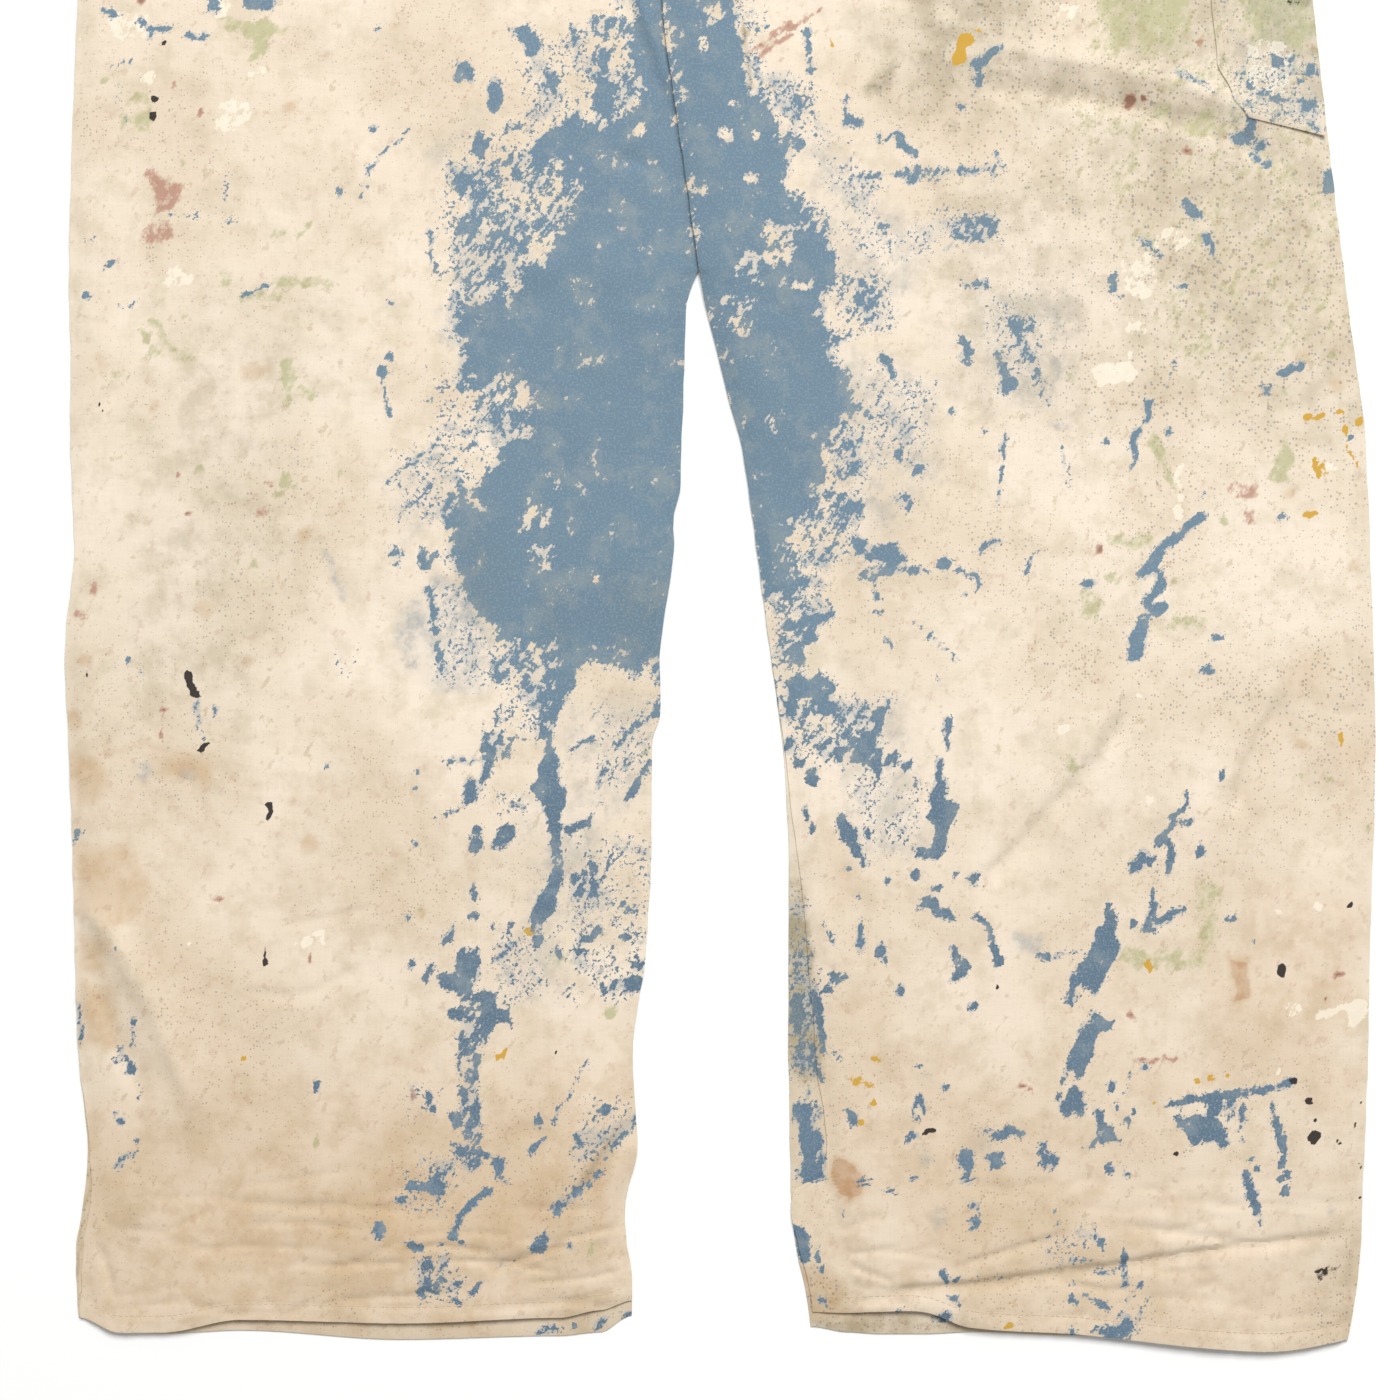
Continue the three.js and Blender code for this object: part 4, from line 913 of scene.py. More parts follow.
@dataclass(frozen=True)
class CottonDrill:
    """Cotton drill, washed thin and painted in: a dead matt cloth whose slubs and stains break its cream colour.

    Sizes are in metres. Each row of specks is their cells' size, how few cells have one, and their part of a cell.
    """

    name: str
    cream: str
    warm: str
    roughness: float = 0.92
    painted_roughness: float = 0.66
    specular: float = 0.25
    thread: float = 0.0011
    slub: float = 0.014
    cloud: float = 0.11
    tone: float = 0.021
    chip: float = 0.0078
    dry_dot: float = 0.0021
    grain: float = 0.0012
    relief: float = 0.00025
    specks: tuple[tuple[float, float, float], ...] = ((0.0017, 0.64, 0.36), (0.0062, 0.86, 0.13))
    streak: tuple[float, float, float] = (0.0034, 0.011, 1.0)
    lean: float = -0.6
    rubbed: tuple[float, float] = (-0.43, -0.35)

    def layer(self, tree: Tree, under: Socket, colour: object, cover: Socket) -> Socket:
        """Lays a colour, plain or from a socket, over what is below it."""
        mix = add(tree, "ShaderNodeMix", {0: cover, 6: under, 7: colour}, data_type="RGBA")
        return mix.outputs[2]

    def make(self) -> Material:
        """Builds the material.

        Returns:
            The finished material.
        """
        material = bpy.data.materials.new(self.name)
        material.use_nodes = True
        tree = material.node_tree
        tree.nodes.clear()
        place = add(tree, "ShaderNodeTexCoord").outputs["Object"]

        def noise(size: float, detail: float, rough: float, where: Socket = place) -> Socket:
            """Cloudy noise whose clouds are about size metres across."""
            links = {"Vector": where, "Scale": 1.0 / size, "Detail": detail, "Roughness": rough}
            return add(tree, "ShaderNodeTexNoise", links, noise_dimensions="2D").outputs["Fac"]

        def span(value: Socket, low: float, high: float, to_low: float = 0.0, to_high: float = 1.0) -> Socket:
            """Spreads a value from low and high to two others, and holds it there."""
            links = {"Value": value, "From Min": low, "From Max": high, "To Min": to_low, "To Max": to_high}
            return add(tree, "ShaderNodeMapRange", links).outputs["Result"]

        def sums(kind: str, first: object, second: object) -> Socket:
            """One step of arithmetic."""
            return add(tree, "ShaderNodeMath", {0: first, 1: second}, operation=kind).outputs[0]

        def painted(paint: Paint) -> Socket:
            """The cover of a layer, as laid on the cloth's points."""
            return add(tree, "ShaderNodeAttribute", attribute_name=paint.value).outputs["Fac"]

        # The threads are finer than the render can show, so their slubs are drawn about 1 mm wide.
        warp = add(tree, "ShaderNodeMapping", {"Vector": place, "Scale": (1 / self.thread, 1 / self.slub, 1)})
        weft = add(tree, "ShaderNodeMapping", {"Vector": place, "Scale": (1 / self.slub, 1 / self.thread, 1)})
        slubs = sums("ADD", noise(1.0, 1.0, 0.5, warp.outputs[0]), noise(1.0, 1.0, 0.5, weft.outputs[0]))
        clouds = span(noise(self.cloud, 3.0, 0.66), 0.36, 0.66)
        tones = noise(self.tone, 4.0, 0.68)
        # A dry brush leaves streaks, here leaning the way most of the strokes run.
        links = {"Vector": place, "Rotation": (0, 0, self.lean), "Scale": self.streak}
        brush = add(tree, "ShaderNodeMapping", links, vector_type="TEXTURE")
        streaks = sums("MULTIPLY", noise(1.0, 2.0, 0.65, brush.outputs[0]), 0.5)
        chips = span(sums("ADD", noise(self.chip, 4.0, 0.74), streaks), 0.56, 0.94)
        pepper = span(sums("ADD", noise(self.dry_dot, 2.0, 0.7), streaks), 0.55, 0.95)
        grain = noise(self.grain, 1.0, 0.6)

        base = self.layer(tree, linear(self.cream), linear(self.warm), clouds)
        rub = span(slubs, 0.74, 1.26, 0.978, 1.015)
        links = {0: 1.0, 6: base, 7: rub}
        colour = add(tree, "ShaderNodeMix", links, data_type="RGBA", blend_type="MULTIPLY").outputs[2]
        colour = self.layer(tree, colour, Shade.GREYED.light, span(tones, 0.48, 0.72, 0.0, 0.42))
        # Dirt and painted shade, broken by tones.
        soil_and_shade = sums("MULTIPLY", painted(Paint.SOIL_AND_SHADE), span(tones, 0.34, 0.64, 0.3, 1.0))
        colour = self.layer(tree, colour, Shade.DIRT_AND_SHADE.light, soil_and_shade)
        tan = self.layer(tree, Shade.TAN.light, Shade.DEEP_TAN.light, span(painted(Paint.TAN), 0.93, 1.0))
        blotch = sums("ADD", span(clouds, 0.0, 1.0, 0.5, 0.68), span(tones, 0.4, 0.62, 0.0, 0.24))
        colour = self.layer(tree, colour, tan, sums("MULTIPLY", painted(Paint.TAN), blotch))

        # Loose specks of many jobs' paint, up to 2 mm across and thicker at the hip and where the dirt and painted
        # shade lie.
        spot = add(tree, "ShaderNodeSeparateXYZ", {"Vector": place}).outputs
        hip = sums("MULTIPLY", span(spot[0], 0.1, 0.2), span(spot[1], -0.5, -0.3, 0.0, 0.6))
        thick = sums("ADD", span(clouds, 0.1, 0.9, 0.2, 1.0), sums("ADD", painted(Paint.SOIL_AND_SHADE), hip))
        for cell, rare, size in self.specks:
            drops = add(tree, "ShaderNodeTexVoronoi", {"Vector": place, "Scale": 1 / cell}, voronoi_dimensions="2D")
            draw = add(tree, "ShaderNodeSeparateColor", {"Color": drops.outputs["Color"]})
            few = sums("MULTIPLY", thick, span(draw.outputs[0], rare, 1.0, 0.0, size))
            far = sums("ADD", drops.outputs["Distance"], span(grain, 0.3, 0.7, -0.03, 0.12))
            dark = self.layer(tree, Shade.SPECK_BROWN.light, Shade.SPECK_RED.light, span(draw.outputs[1], 0.86, 0.9))
            dark = self.layer(tree, dark, Shade.SPECK_BLUE.light, span(draw.outputs[2], 0.5, 0.55))
            colour = self.layer(tree, colour, dark, span(sums("SUBTRACT", few, far), -0.03, 0.06, 0.0, 0.5))

        def coat(paint: Paint, under: Socket, shade: Shade, strength: float, broken: Socket) -> Socket:
            """Lays a broken coat of paint over the colour so far."""
            edge = span(sums("SUBTRACT", painted(paint), broken), 0.0, 0.12, 0.0, strength)
            return self.layer(tree, under, shade.light, edge)

        mottle = sums("ADD", sums("MULTIPLY", chips, 0.75), span(tones, 0.36, 0.64, 0.0, 0.4))
        green = span(sums("SUBTRACT", painted(Paint.GREEN), mottle), -0.22, 0.34, 0.0, 0.66)
        colour = self.layer(tree, colour, Shade.GREEN.light, green)
        rust = self.layer(tree, Shade.RUBBED_RUST.light, Shade.RUST.light, span(painted(Paint.RUST), 0.66, 0.85))
        rubbed_rust = sums("SUBTRACT", painted(Paint.RUST), sums("MULTIPLY", chips, 0.6))
        colour = self.layer(tree, colour, rust, span(rubbed_rust, -0.1, 0.3, 0.0, 0.78))
        colour = coat(Paint.WHITE, colour, Shade.FILLER, 0.66, span(chips, 0.0, 1.0, 0.1, 0.8))
        colour = coat(Paint.YELLOW, colour, Shade.OCHRE, 0.95, span(chips, 0.0, 1.0, 0.2, 0.7))

        # The blue lies solid, thins to a smoky film at its worn edges, and has lost chips where it is thickest.
        film = sums("MULTIPLY", painted(Paint.FILM), span(tones, 0.42, 0.6, 0.25, 1.0))
        cover = sums("SUBTRACT", painted(Paint.BLUE), span(tones, 0.5, 0.66, 0.0, 0.26))
        haze = span(sums("SUBTRACT", painted(Paint.BLUE), span(tones, 0.36, 0.64, 0.0, 0.7)), 0.0, 0.4, 0.0, 0.8)
        smoke = sums("MULTIPLY", sums("MAXIMUM", film, haze), span(chips, 0.15, 0.8, 1.0, 0.45))
        colour = self.layer(tree, colour, Shade.SMOKE.light, smoke)
        blue = self.layer(tree, Shade.BLUE_LOW.light, Shade.BLUE_HIGH.light, span(spot[1], *self.rubbed))
        # The blue darkens where the dirt and painted shade lie.
        faded = {
            Shade.BLUE_CLOUD: span(clouds, 0.3, 1.0, 0.0, 0.6),
            Shade.BLUE_RUBBED: span(tones, 0.46, 0.68, 0.0, 0.55),
            Shade.BLUE_GRIME_AND_SHADE: sums("MULTIPLY", soil_and_shade, 0.8),
            Shade.BLUE_LINT: span(grain, 0.5, 0.8, 0.0, 0.4),
            Shade.BLUE_FADED: span(tones, 0.5, 0.7, 0.0, 0.42),
            Shade.BLUE_PALE: span(grain, 0.5, 0.8, 0.0, 0.3),
        }
        for shade, share in faded.items():
            blue = self.layer(tree, blue, shade.light, share)
        dry = add(tree, "ShaderNodeMix", {0: span(painted(Paint.BLUE), 0.35, 0.75), 2: pepper, 3: chips}).outputs[0]
        coated = span(sums("SUBTRACT", cover, dry), 0.0, 0.08)
        colour = self.layer(tree, colour, blue, coated)
        colour = coat(Paint.BLACK, colour, Shade.BLACK, 0.97, span(chips, 0.0, 1.0, 0.25, 0.6))

        height = sums("ADD", sums("MULTIPLY", grain, 0.6), sums("MULTIPLY", painted(Paint.BLUE), 0.4))
        bump = add(tree, "ShaderNodeBump", {"Height": height, "Strength": 0.45, "Distance": self.relief})
        rough = span(coated, 0.0, 1.0, self.roughness, self.painted_roughness)
        links = {
            "Base Color": colour,
            "Roughness": rough,
            "Normal": bump.outputs[0],
            "Specular IOR Level": self.specular,
        }
        shader = add(tree, "ShaderNodeBsdfPrincipled", links)
        add(tree, "ShaderNodeOutputMaterial", {"Surface": shader.outputs[0]})
        return material


@dataclass(frozen=True)
class Plain:
    """A finish of two near colours in fine cloudy grain, such as pressed horn, cotton thread or a painted floor."""

    name: str
    light: str
    deep: str
    grain: float
    roughness: float
    relief: float = 0.0001

    def make(self) -> Material:
        """Builds the material.

        Returns:
            The finished material.
        """
        material = bpy.data.materials.new(self.name)
        material.use_nodes = True
        tree = material.node_tree
        tree.nodes.clear()
        place = add(tree, "ShaderNodeTexCoord").outputs["Object"]
        links = {"Vector": place, "Scale": 1.0 / self.grain, "Detail": 4.0}
        cloud = add(tree, "ShaderNodeTexNoise", links).outputs["Fac"]
        mix = add(tree, "ShaderNodeMix", {0: cloud, 6: linear(self.light), 7: linear(self.deep)}, data_type="RGBA")
        bump = add(tree, "ShaderNodeBump", {"Height": cloud, "Strength": 0.3, "Distance": self.relief})
        links = {"Base Color": mix.outputs[2], "Roughness": self.roughness, "Normal": bump.outputs[0]}
        shader = add(tree, "ShaderNodeBsdfPrincipled", links)
        add(tree, "ShaderNodeOutputMaterial", {"Surface": shader.outputs[0]})
        return material


@dataclass
class Finishes:
    """All finishes, made once."""

    # Washed drill: dead matt cream, broken by slubs, stains and paint.
    drill: Material = field(default_factory=CottonDrill("cotton_drill", "E9DBC8", "DBCBB4").make)
    # The backs are a greyer, darker copy of the drill.
    drill_back: Material = field(default_factory=CottonDrill("cotton_drill_darker", "E2D7C5", "D2C5AF").make)
    # Pressed horn: satin, cloudy and a little darker where it has been handled.
    horn: Material = field(default_factory=Plain("pressed_horn", "CFC1A6", "B59F7C", 0.004, 0.42).make)
    # Cotton thread: matt and as pale as the cloth when new, now greyed.
    thread: Material = field(default_factory=Plain("cotton_thread", "DCCBAE", "C4AF8C", 0.002, 0.9).make)
    # Painted shade: dark discs stand in for the holes of a button's eyes.
    shadow: Material = field(default_factory=Plain("painted_shade_in_eyes", "3A2F26", "2A221C", 0.002, 0.9).make)


def stand(
    mesh: bpy.types.Mesh, materials: list[Material], sharp: float | None = None, node: str = ""
) -> Piece:
    """Shades a mesh smooth, finishes it and puts it in the scene, on the garment's one body.

    Args:
        mesh: the mesh, whose name the piece takes.
        materials: its finishes.
        sharp: the angle in degrees past which an edge stays sharp, if any does.
        node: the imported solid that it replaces, if any.

    Returns:
        The new piece.
    """
    mesh.polygons.foreach_set("use_smooth", [True] * len(mesh.polygons))
    if sharp is not None:
        mesh.set_sharp_from_angle(angle=math.radians(sharp))
    for material in materials:
        mesh.materials.append(material)
    obj = bpy.data.objects.new(mesh.name, mesh)
    bpy.context.scene.collection.objects.link(obj)
    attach(obj, "root")
    if node:
        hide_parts(node)
    log.info("%s: %d faces", obj.name, len(mesh.polygons))
    return obj


def tree_of(obj: Piece) -> BVHTree:
    """A search tree of a mesh's faces, in metres."""
    return BVHTree.FromPolygons([v.co for v in obj.data.vertices], [p.vertices for p in obj.data.polygons])


def tops(search: BVHTree, points: Grid) -> Grid:
    """The upper surface over each point.

    Args:
        search: the mesh's search tree.
        points: rows of x and y in metres.

    Returns:
        The heights in millimetres.
    """
    down = Vector((0.0, 0.0, -1.0))
    heights = np.empty(len(points))
    for k, (x, y) in enumerate(points):
        hit = search.ray_cast(Vector((x, y, 1.0)), down)[0]
        if hit is None:
            hit = search.find_nearest(Vector((x, y, 0.02)))[0]
        heights[k] = hit.z * 1000.0
    return heights


def soften(heights: Grid, reach: int) -> Grid:
    """Evens out facets over a grid.

    Args:
        heights: the grid.
        reach: how many cells the evening spreads.

    Returns:
        The evened grid.
    """
    weights = np.exp(-0.5 * (np.arange(-2 * reach, 2 * reach + 1) / reach) ** 2)
    weights /= weights.sum()
    for axis in (0, 1):
        pad = [(0, 0), (0, 0)]
        pad[axis] = (2 * reach, 2 * reach)
        padded = np.pad(heights, pad, mode="reflect", reflect_type="odd")
        size = heights.shape[axis]
        heights = sum(w * np.take(padded, range(k, k + size), axis) for k, w in enumerate(weights))
    return heights


@dataclass
class Cloth:
    """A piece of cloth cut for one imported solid, laid on a grid whose cells come in threes for its underside."""

    node: str
    material: Material
    slot: str
    flat: tuple[float, float]
    area: float
    rests_on: tuple[str, ...]
    spatter: Spatter
    handling: Handling
    thickness: float = CLOTH
    lowest: float = 0.0
    evening: int = 4
    rim: float = 0.3
    sharp: float = 55.0

    def lay(self, x: Grid, y: Grid, settle: Grid | float = 1.0, raised: Grid | float = 0.0) -> Piece:
        """Lays the cloth over its solid, creases it and paints it.

        Args:
            x: millimetres to the right, rows along the cloth and columns across it.
            y: millimetres up from the hems.
            settle: how freely the cloth creases, from 0 to 1.
            raised: extra height, such as a turned hem's.

        Returns:
            The finished piece.
        """
        solid = tree_of(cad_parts[self.node])
        flat = metres(x, y, np.zeros_like(x))[:, :2]
        coarse, across = (np.arange(0, cells, UNDER_STEP) for cells in x.shape)
        under = np.ix_(coarse, across)
        knots = flat.reshape(*x.shape, 2)[under].reshape(-1, 2)
        rough = tops(solid, knots).reshape(len(coarse), len(across))
        wide = np.stack([np.interp(np.arange(x.shape[1]), across, row) for row in rough])
        base = np.stack([np.interp(np.arange(x.shape[0]), coarse, column) for column in wide.T], axis=1)
        base = soften(base, self.evening)
        z = base + settle * self.handling.relief(x, y) + raised
        z = np.maximum(z, self.lowest + self.thickness)
        rim = np.zeros_like(z)
        rim[[0, -1]] = rim[:, [0, -1]] = self.rim
        obj = stand(self.shell(x, y, z - rim), [self.material], self.sharp, self.node)
        laid_x, laid_y = (np.concatenate([mm.ravel(), mm[under].ravel()]) for mm in (x, y))
        self.spatter.lay(obj, laid_x, laid_y)
        return obj

    def shell(self, x: Grid, y: Grid, z: Grid) -> bpy.types.Mesh:
        """Closes the upper grid with an underside and a rim.

        Args:
            x: millimetres to the right.
            y: millimetres up from the hems.
            z: the upper surface.

        Returns:
            The new mesh.
        """
        under_x, under_y, under_z = (mm[::UNDER_STEP, ::UNDER_STEP] for mm in (x, y, z))
        under_z = np.maximum(under_z - self.thickness, self.lowest)
        top = np.arange(x.size).reshape(x.shape)
        low = x.size + np.arange(under_x.size).reshape(under_x.shape)
        points = np.concatenate([metres(x, y, z), metres(under_x, under_y, under_z)])
        upper = np.stack([top[:-1, :-1], top[:-1, 1:], top[1:, 1:], top[1:, :-1]], axis=2).reshape(-1, 4)
        lower = np.stack([low[:-1, :-1], low[1:, :-1], low[1:, 1:], low[:-1, 1:]], axis=2).reshape(-1, 4)
        faces = upper.tolist() + lower.tolist()
        edges = (
            (top[0], low[0]),
            (top[:, -1], low[:, -1]),
            (top[-1, ::-1], low[-1, ::-1]),
            (top[::-1, 0], low[::-1, 0]),
        )
        for fine, wide in edges:
            for k in range(len(wide) - 1):
                start = UNDER_STEP * k
                faces.append([wide[k], wide[k + 1], *fine[start : start + UNDER_STEP + 1][::-1]])
        mesh = bpy.data.meshes.new("cloth_" + self.node)
        mesh.from_pydata(points.tolist(), [], faces)
        return mesh


def thirds(*stretches: tuple[float, float, int]) -> Grid:
    """Places along stretches of start, end and cells, whose counts of cells divide by three."""
    parts = [np.linspace(start, end, cells + 1)[(1 if k else 0) :] for k, (start, end, cells) in enumerate(stretches)]
    return np.concatenate(parts)


@dataclass
class Leg:
    """One leg: its cutting tables, and the front and back that are laid from them."""

    side: int
    name: str
    sections: tuple[tuple[float | None, ...], ...]
    hem: tuple[tuple[float, ...], ...]
    hem_depth: float = 11.0
    fly_overlap: float = 8.0
    fly_line: tuple[tuple[float, float], ...] = (
        (LEGS_PART, -0.6), (CROTCH, -11.5), (724, -20.5), (800, -18.5), (880, -12.5), (WAIST, -7.5),
    )
    fly_fold: tuple[tuple[float, float], ...] = (
        (CROTCH, -10), (670, -15), (683, -21.6), (705, -29.7), (724, -36.7), (800, -52),
    )
    fly_gap: float = 0.15
    stitch_inset: float = 1.6
    roll: float = 1.1
    ripple: float = 0.12
    hem_fade: float = 70.0

    def outer(self, y: Grid) -> Grid:
        """The outer folded edge at a section."""
        return table(self.sections, 0, 1)(y)

    def inner(self, y: Grid) -> Grid:
        """The inner edge at a section, which is the fly's line above the parting of the legs."""
        fly = table(self.fly_line, 0, 1)(y) + self.side * self.fly_gap
        return np.where(y < LEGS_PART, table(self.sections, 0, 2)(y), fly)

    def front_edges(self, y: Grid) -> tuple[Grid, Grid]:
        """The front's left and right edges at a section.

        Args:
            y: the sections.

        Returns:
            The left and right edges.
        """
        under = self.fly_overlap * smooth(y, LEGS_PART + 4, CROTCH) if self.side < 0 else 0.0
        outer = self.outer(y) - self.side * table(self.sections, 0, 3)(y)
        inner = self.inner(y) + self.side * table(self.sections, 0, 4)(y) + under
        return (outer, inner) if self.side < 0 else (inner, outer)

    def grid(self, rows: Grid, steps: Grid, edges: tuple[Grid, Grid], hem: int) -> tuple[Grid, Grid]:
        """Lays a grid between two edges, with its first rows along the hem.

        Args:
            rows: the sections.
            steps: places from 0 to 1 across.
            edges: the left and right edges of each section.
            hem: the hem table's column.

        Returns:
            Millimetres to the right and up from the hems.
        """
        left, right = edges
        x = left[:, None] + (right - left)[:, None] * steps[None, :]
        at_edges = (np.abs(2 * steps - 1) ** 8)[None, :]
        x = x + self.ripple * waves(x, rows[:, None] + 0.0 * x, 31, 8, 18, 60) * at_edges
        y = rows[:, None] + table(self.hem, 0, hem)(x) * (1.0 - smooth(rows, 0.0, self.hem_fade))[:, None]
        return x, y

    def front(self, cloth: Cloth) -> Piece:
        """Lays the front, with its turned hem and its stitched edge.

        Args:
            cloth: the piece to lay.

        Returns:
            The finished piece.
        """
        rows = thirds((0, 730, 399), (730, WAIST, 45))
        steps = np.linspace(0.0, 1.0, 190)
        edges = self.front_edges(rows)
        x, y = self.grid(rows, steps, edges, 1)
        from_left, from_right = x - edges[0][:, None], edges[1][:, None] - x
        from_inner = from_right if self.side < 0 else from_left
        settle = smooth(np.minimum(from_left, from_right), 0.0, 14.0) * 0.8 + 0.2
        if self.side < 0:
            settle = settle * np.where(rows[:, None] > LEGS_PART - 20, smooth(from_inner, 10.0, 50.0), 1.0)
        section = rows[:, None] + 0.0 * x
        stitched = np.exp(-(((section - self.hem_depth + self.stitch_inset) / 1.5) ** 2))
        pucker = 0.12 * waves(x, section, 33, 12, 5, 14) * (1.0 - smooth(section, 8.0, 22.0))
        # The folded edges roll down towards the back.
        outer_side = from_left if self.side < 0 else from_right
        ends = np.where(section < LEGS_PART, np.minimum(outer_side, from_inner), outer_side)
        raised = pucker - 0.35 * stitched - self.roll * np.exp(-((ends / 5.0) ** 2))
        if self.side < 0:
            beside = x - table(self.fly_fold, 0, 1)(section)
            fold = 0.9 * np.exp(-(((beside - 4.0) / 4.0) ** 2)) - 1.7 * np.exp(-(((beside + 5.0) / 6.0) ** 2))
            raised = raised + fold * smooth(section, CROTCH - 14, CROTCH + 14)
        else:
            raised = raised + 0.5 * np.exp(-((from_inner / 7.0) ** 2)) * smooth(section, LEGS_PART - 60, CROTCH)
        return cloth.lay(x, y, settle, raised)

    def back(self, cloth: Cloth) -> Piece:
        """Lays the back, finest where it shows past the front.

        Args:
            cloth: the piece to lay.

        Returns:
            The finished piece.
        """
        rows = thirds((0, 40, 21), (40, 620, 201), (620, WAIST, 45))
        steps = np.concatenate([np.linspace(0, 0.14, 22), np.linspace(0.14, 0.97, 63)[1:], np.linspace(0.97, 1, 8)[1:]])
        steps = steps if self.side > 0 else 1.0 - steps[::-1]
        outer, inner = self.outer(rows), self.inner(rows)
        edges = (outer, inner) if self.side < 0 else (inner, outer)
        x, y = self.grid(rows, steps, edges, 2)
        return cloth.lay(x, y, 0.0)


RIGHT_LEG = Leg(
    -1,
    "right",
    (
        (0, -336, -37, 1, 0), (22, -337, -37, 3, 0), (49, -337, -40, 4, 0), (76, -333, -40, 4, 0),
        (103, -331, -34, 1, 0), (157, -336, -36.5, 0, 0), (206, -337.4, -29.6, 0, 0), (265, -339, -26.4, 0, 0),
        (324, -341.2, -25.6, 0, 0), (338, -341.7, -21.6, 0, 0), (373, -343, -21.6, 0, 0), (427, -338, -14, 0, 0),
        (444, -338.5, -14.4, 0, 0), (460, -339.2, -10.8, 0, 0), (481, -340, -10.2, 0, 0), (535, -340, -8.2, 0, 0),
        (556, -340.5, -7.6, 0, 0), (567, -341, -5.4, 0, 0), (LEGS_PART, -341, -0.9, 0, 0), (CROTCH, -339, None, 0, 0),
        (724, -336, None, 0, 0), (800, -329, None, 0, 0), (880, -316, None, 0, 0), (WAIST, -300, None, 0, 0),
    ),
    (
        (-336, 12, 12), (-313, 4, 4), (-291, 4, 3), (-248, 11, 5), (-162, 9, 0), (-76, 12, 2), (-54, 16, 4),
        (-37, 21, 13),
    ),
)
LEFT_LEG = Leg(
    1,
    "left",
    (
        (0, 350, 60, 0, 1), (22, 354, 57, 0, 1), (49, 357, 52, 0, 1), (80, 358, 49, 0, 1.5),
        (91, 358.5, 49, 0, 18.5), (151, 361, 48, 0, 15), (211, 362, 48, 0, 10), (244, 363, 48, 0, 7),
        (268, 364, 48, 0, 4), (288, 364.5, 47, 0, 2.2), (319, 365, 45, 0, 1), (373, 364, 38, 0, 0),
        (481, 360, 23, 0, 0), (510, 357, 15.5, 0, 0), (545, 352, 6.5, 0, 0), (562, 350, 2.7, 0, 0),
        (LEGS_PART, 348, -0.3, 0, 0), (CROTCH, 339, None, 0, 0), (724, 331, None, 0, 0), (800, 322, None, 0, 0),
        (880, 308, None, 0, 0), (WAIST, 294, None, 0, 0),
    ),
    (
        (60, 15, 7), (80, 14.6, 4), (97, 15.4, 3), (122, 15, 3), (145, 7, 4), (205, 3, 2), (270, -4, -4),
        (313, -6, -6), (350, 0, 0),
    ),
)


@dataclass
class ToolPocket:
    """The patch at the left hip, caught in the outer fold."""

    sections: tuple[tuple[float, float], ...] = ((660, 295), (672, 287), (690, 279), (724, 276), (870, 268))
    bottom: float = 660.0
    top: float = 870.0
    tilt: float = 10.0
    edge: float = 0.6
    stitch_inset: float = 4.0

    def build(self, cloth: Cloth) -> Piece:
        """Lays the patch with a stitched, slightly raised edge.

        Args:
            cloth: the piece to lay.

        Returns:
            The finished piece.
        """
        v = np.linspace(0.0, 1.0, 103)[:, None]
        u = np.linspace(0.0, 1.0, 31)[None, :]
        section = self.bottom + (self.top - self.bottom) * v
        left = table(self.sections, 0, 1)(section)
        right = LEFT_LEG.outer(section) - self.edge
        x = left + (right - left) * u
        y = section - self.tilt * u * (1.0 - v) + 0.0 * x
        edge = np.minimum(x - left, y - (self.bottom - self.tilt * u))
        stitched = np.exp(-(((edge - self.stitch_inset) / 1.2) ** 2))
        raised = 0.45 * (1.0 - smooth(edge, 3.0, 9.0)) - 0.3 * stitched
        return cloth.lay(x, y, 0.6, raised)


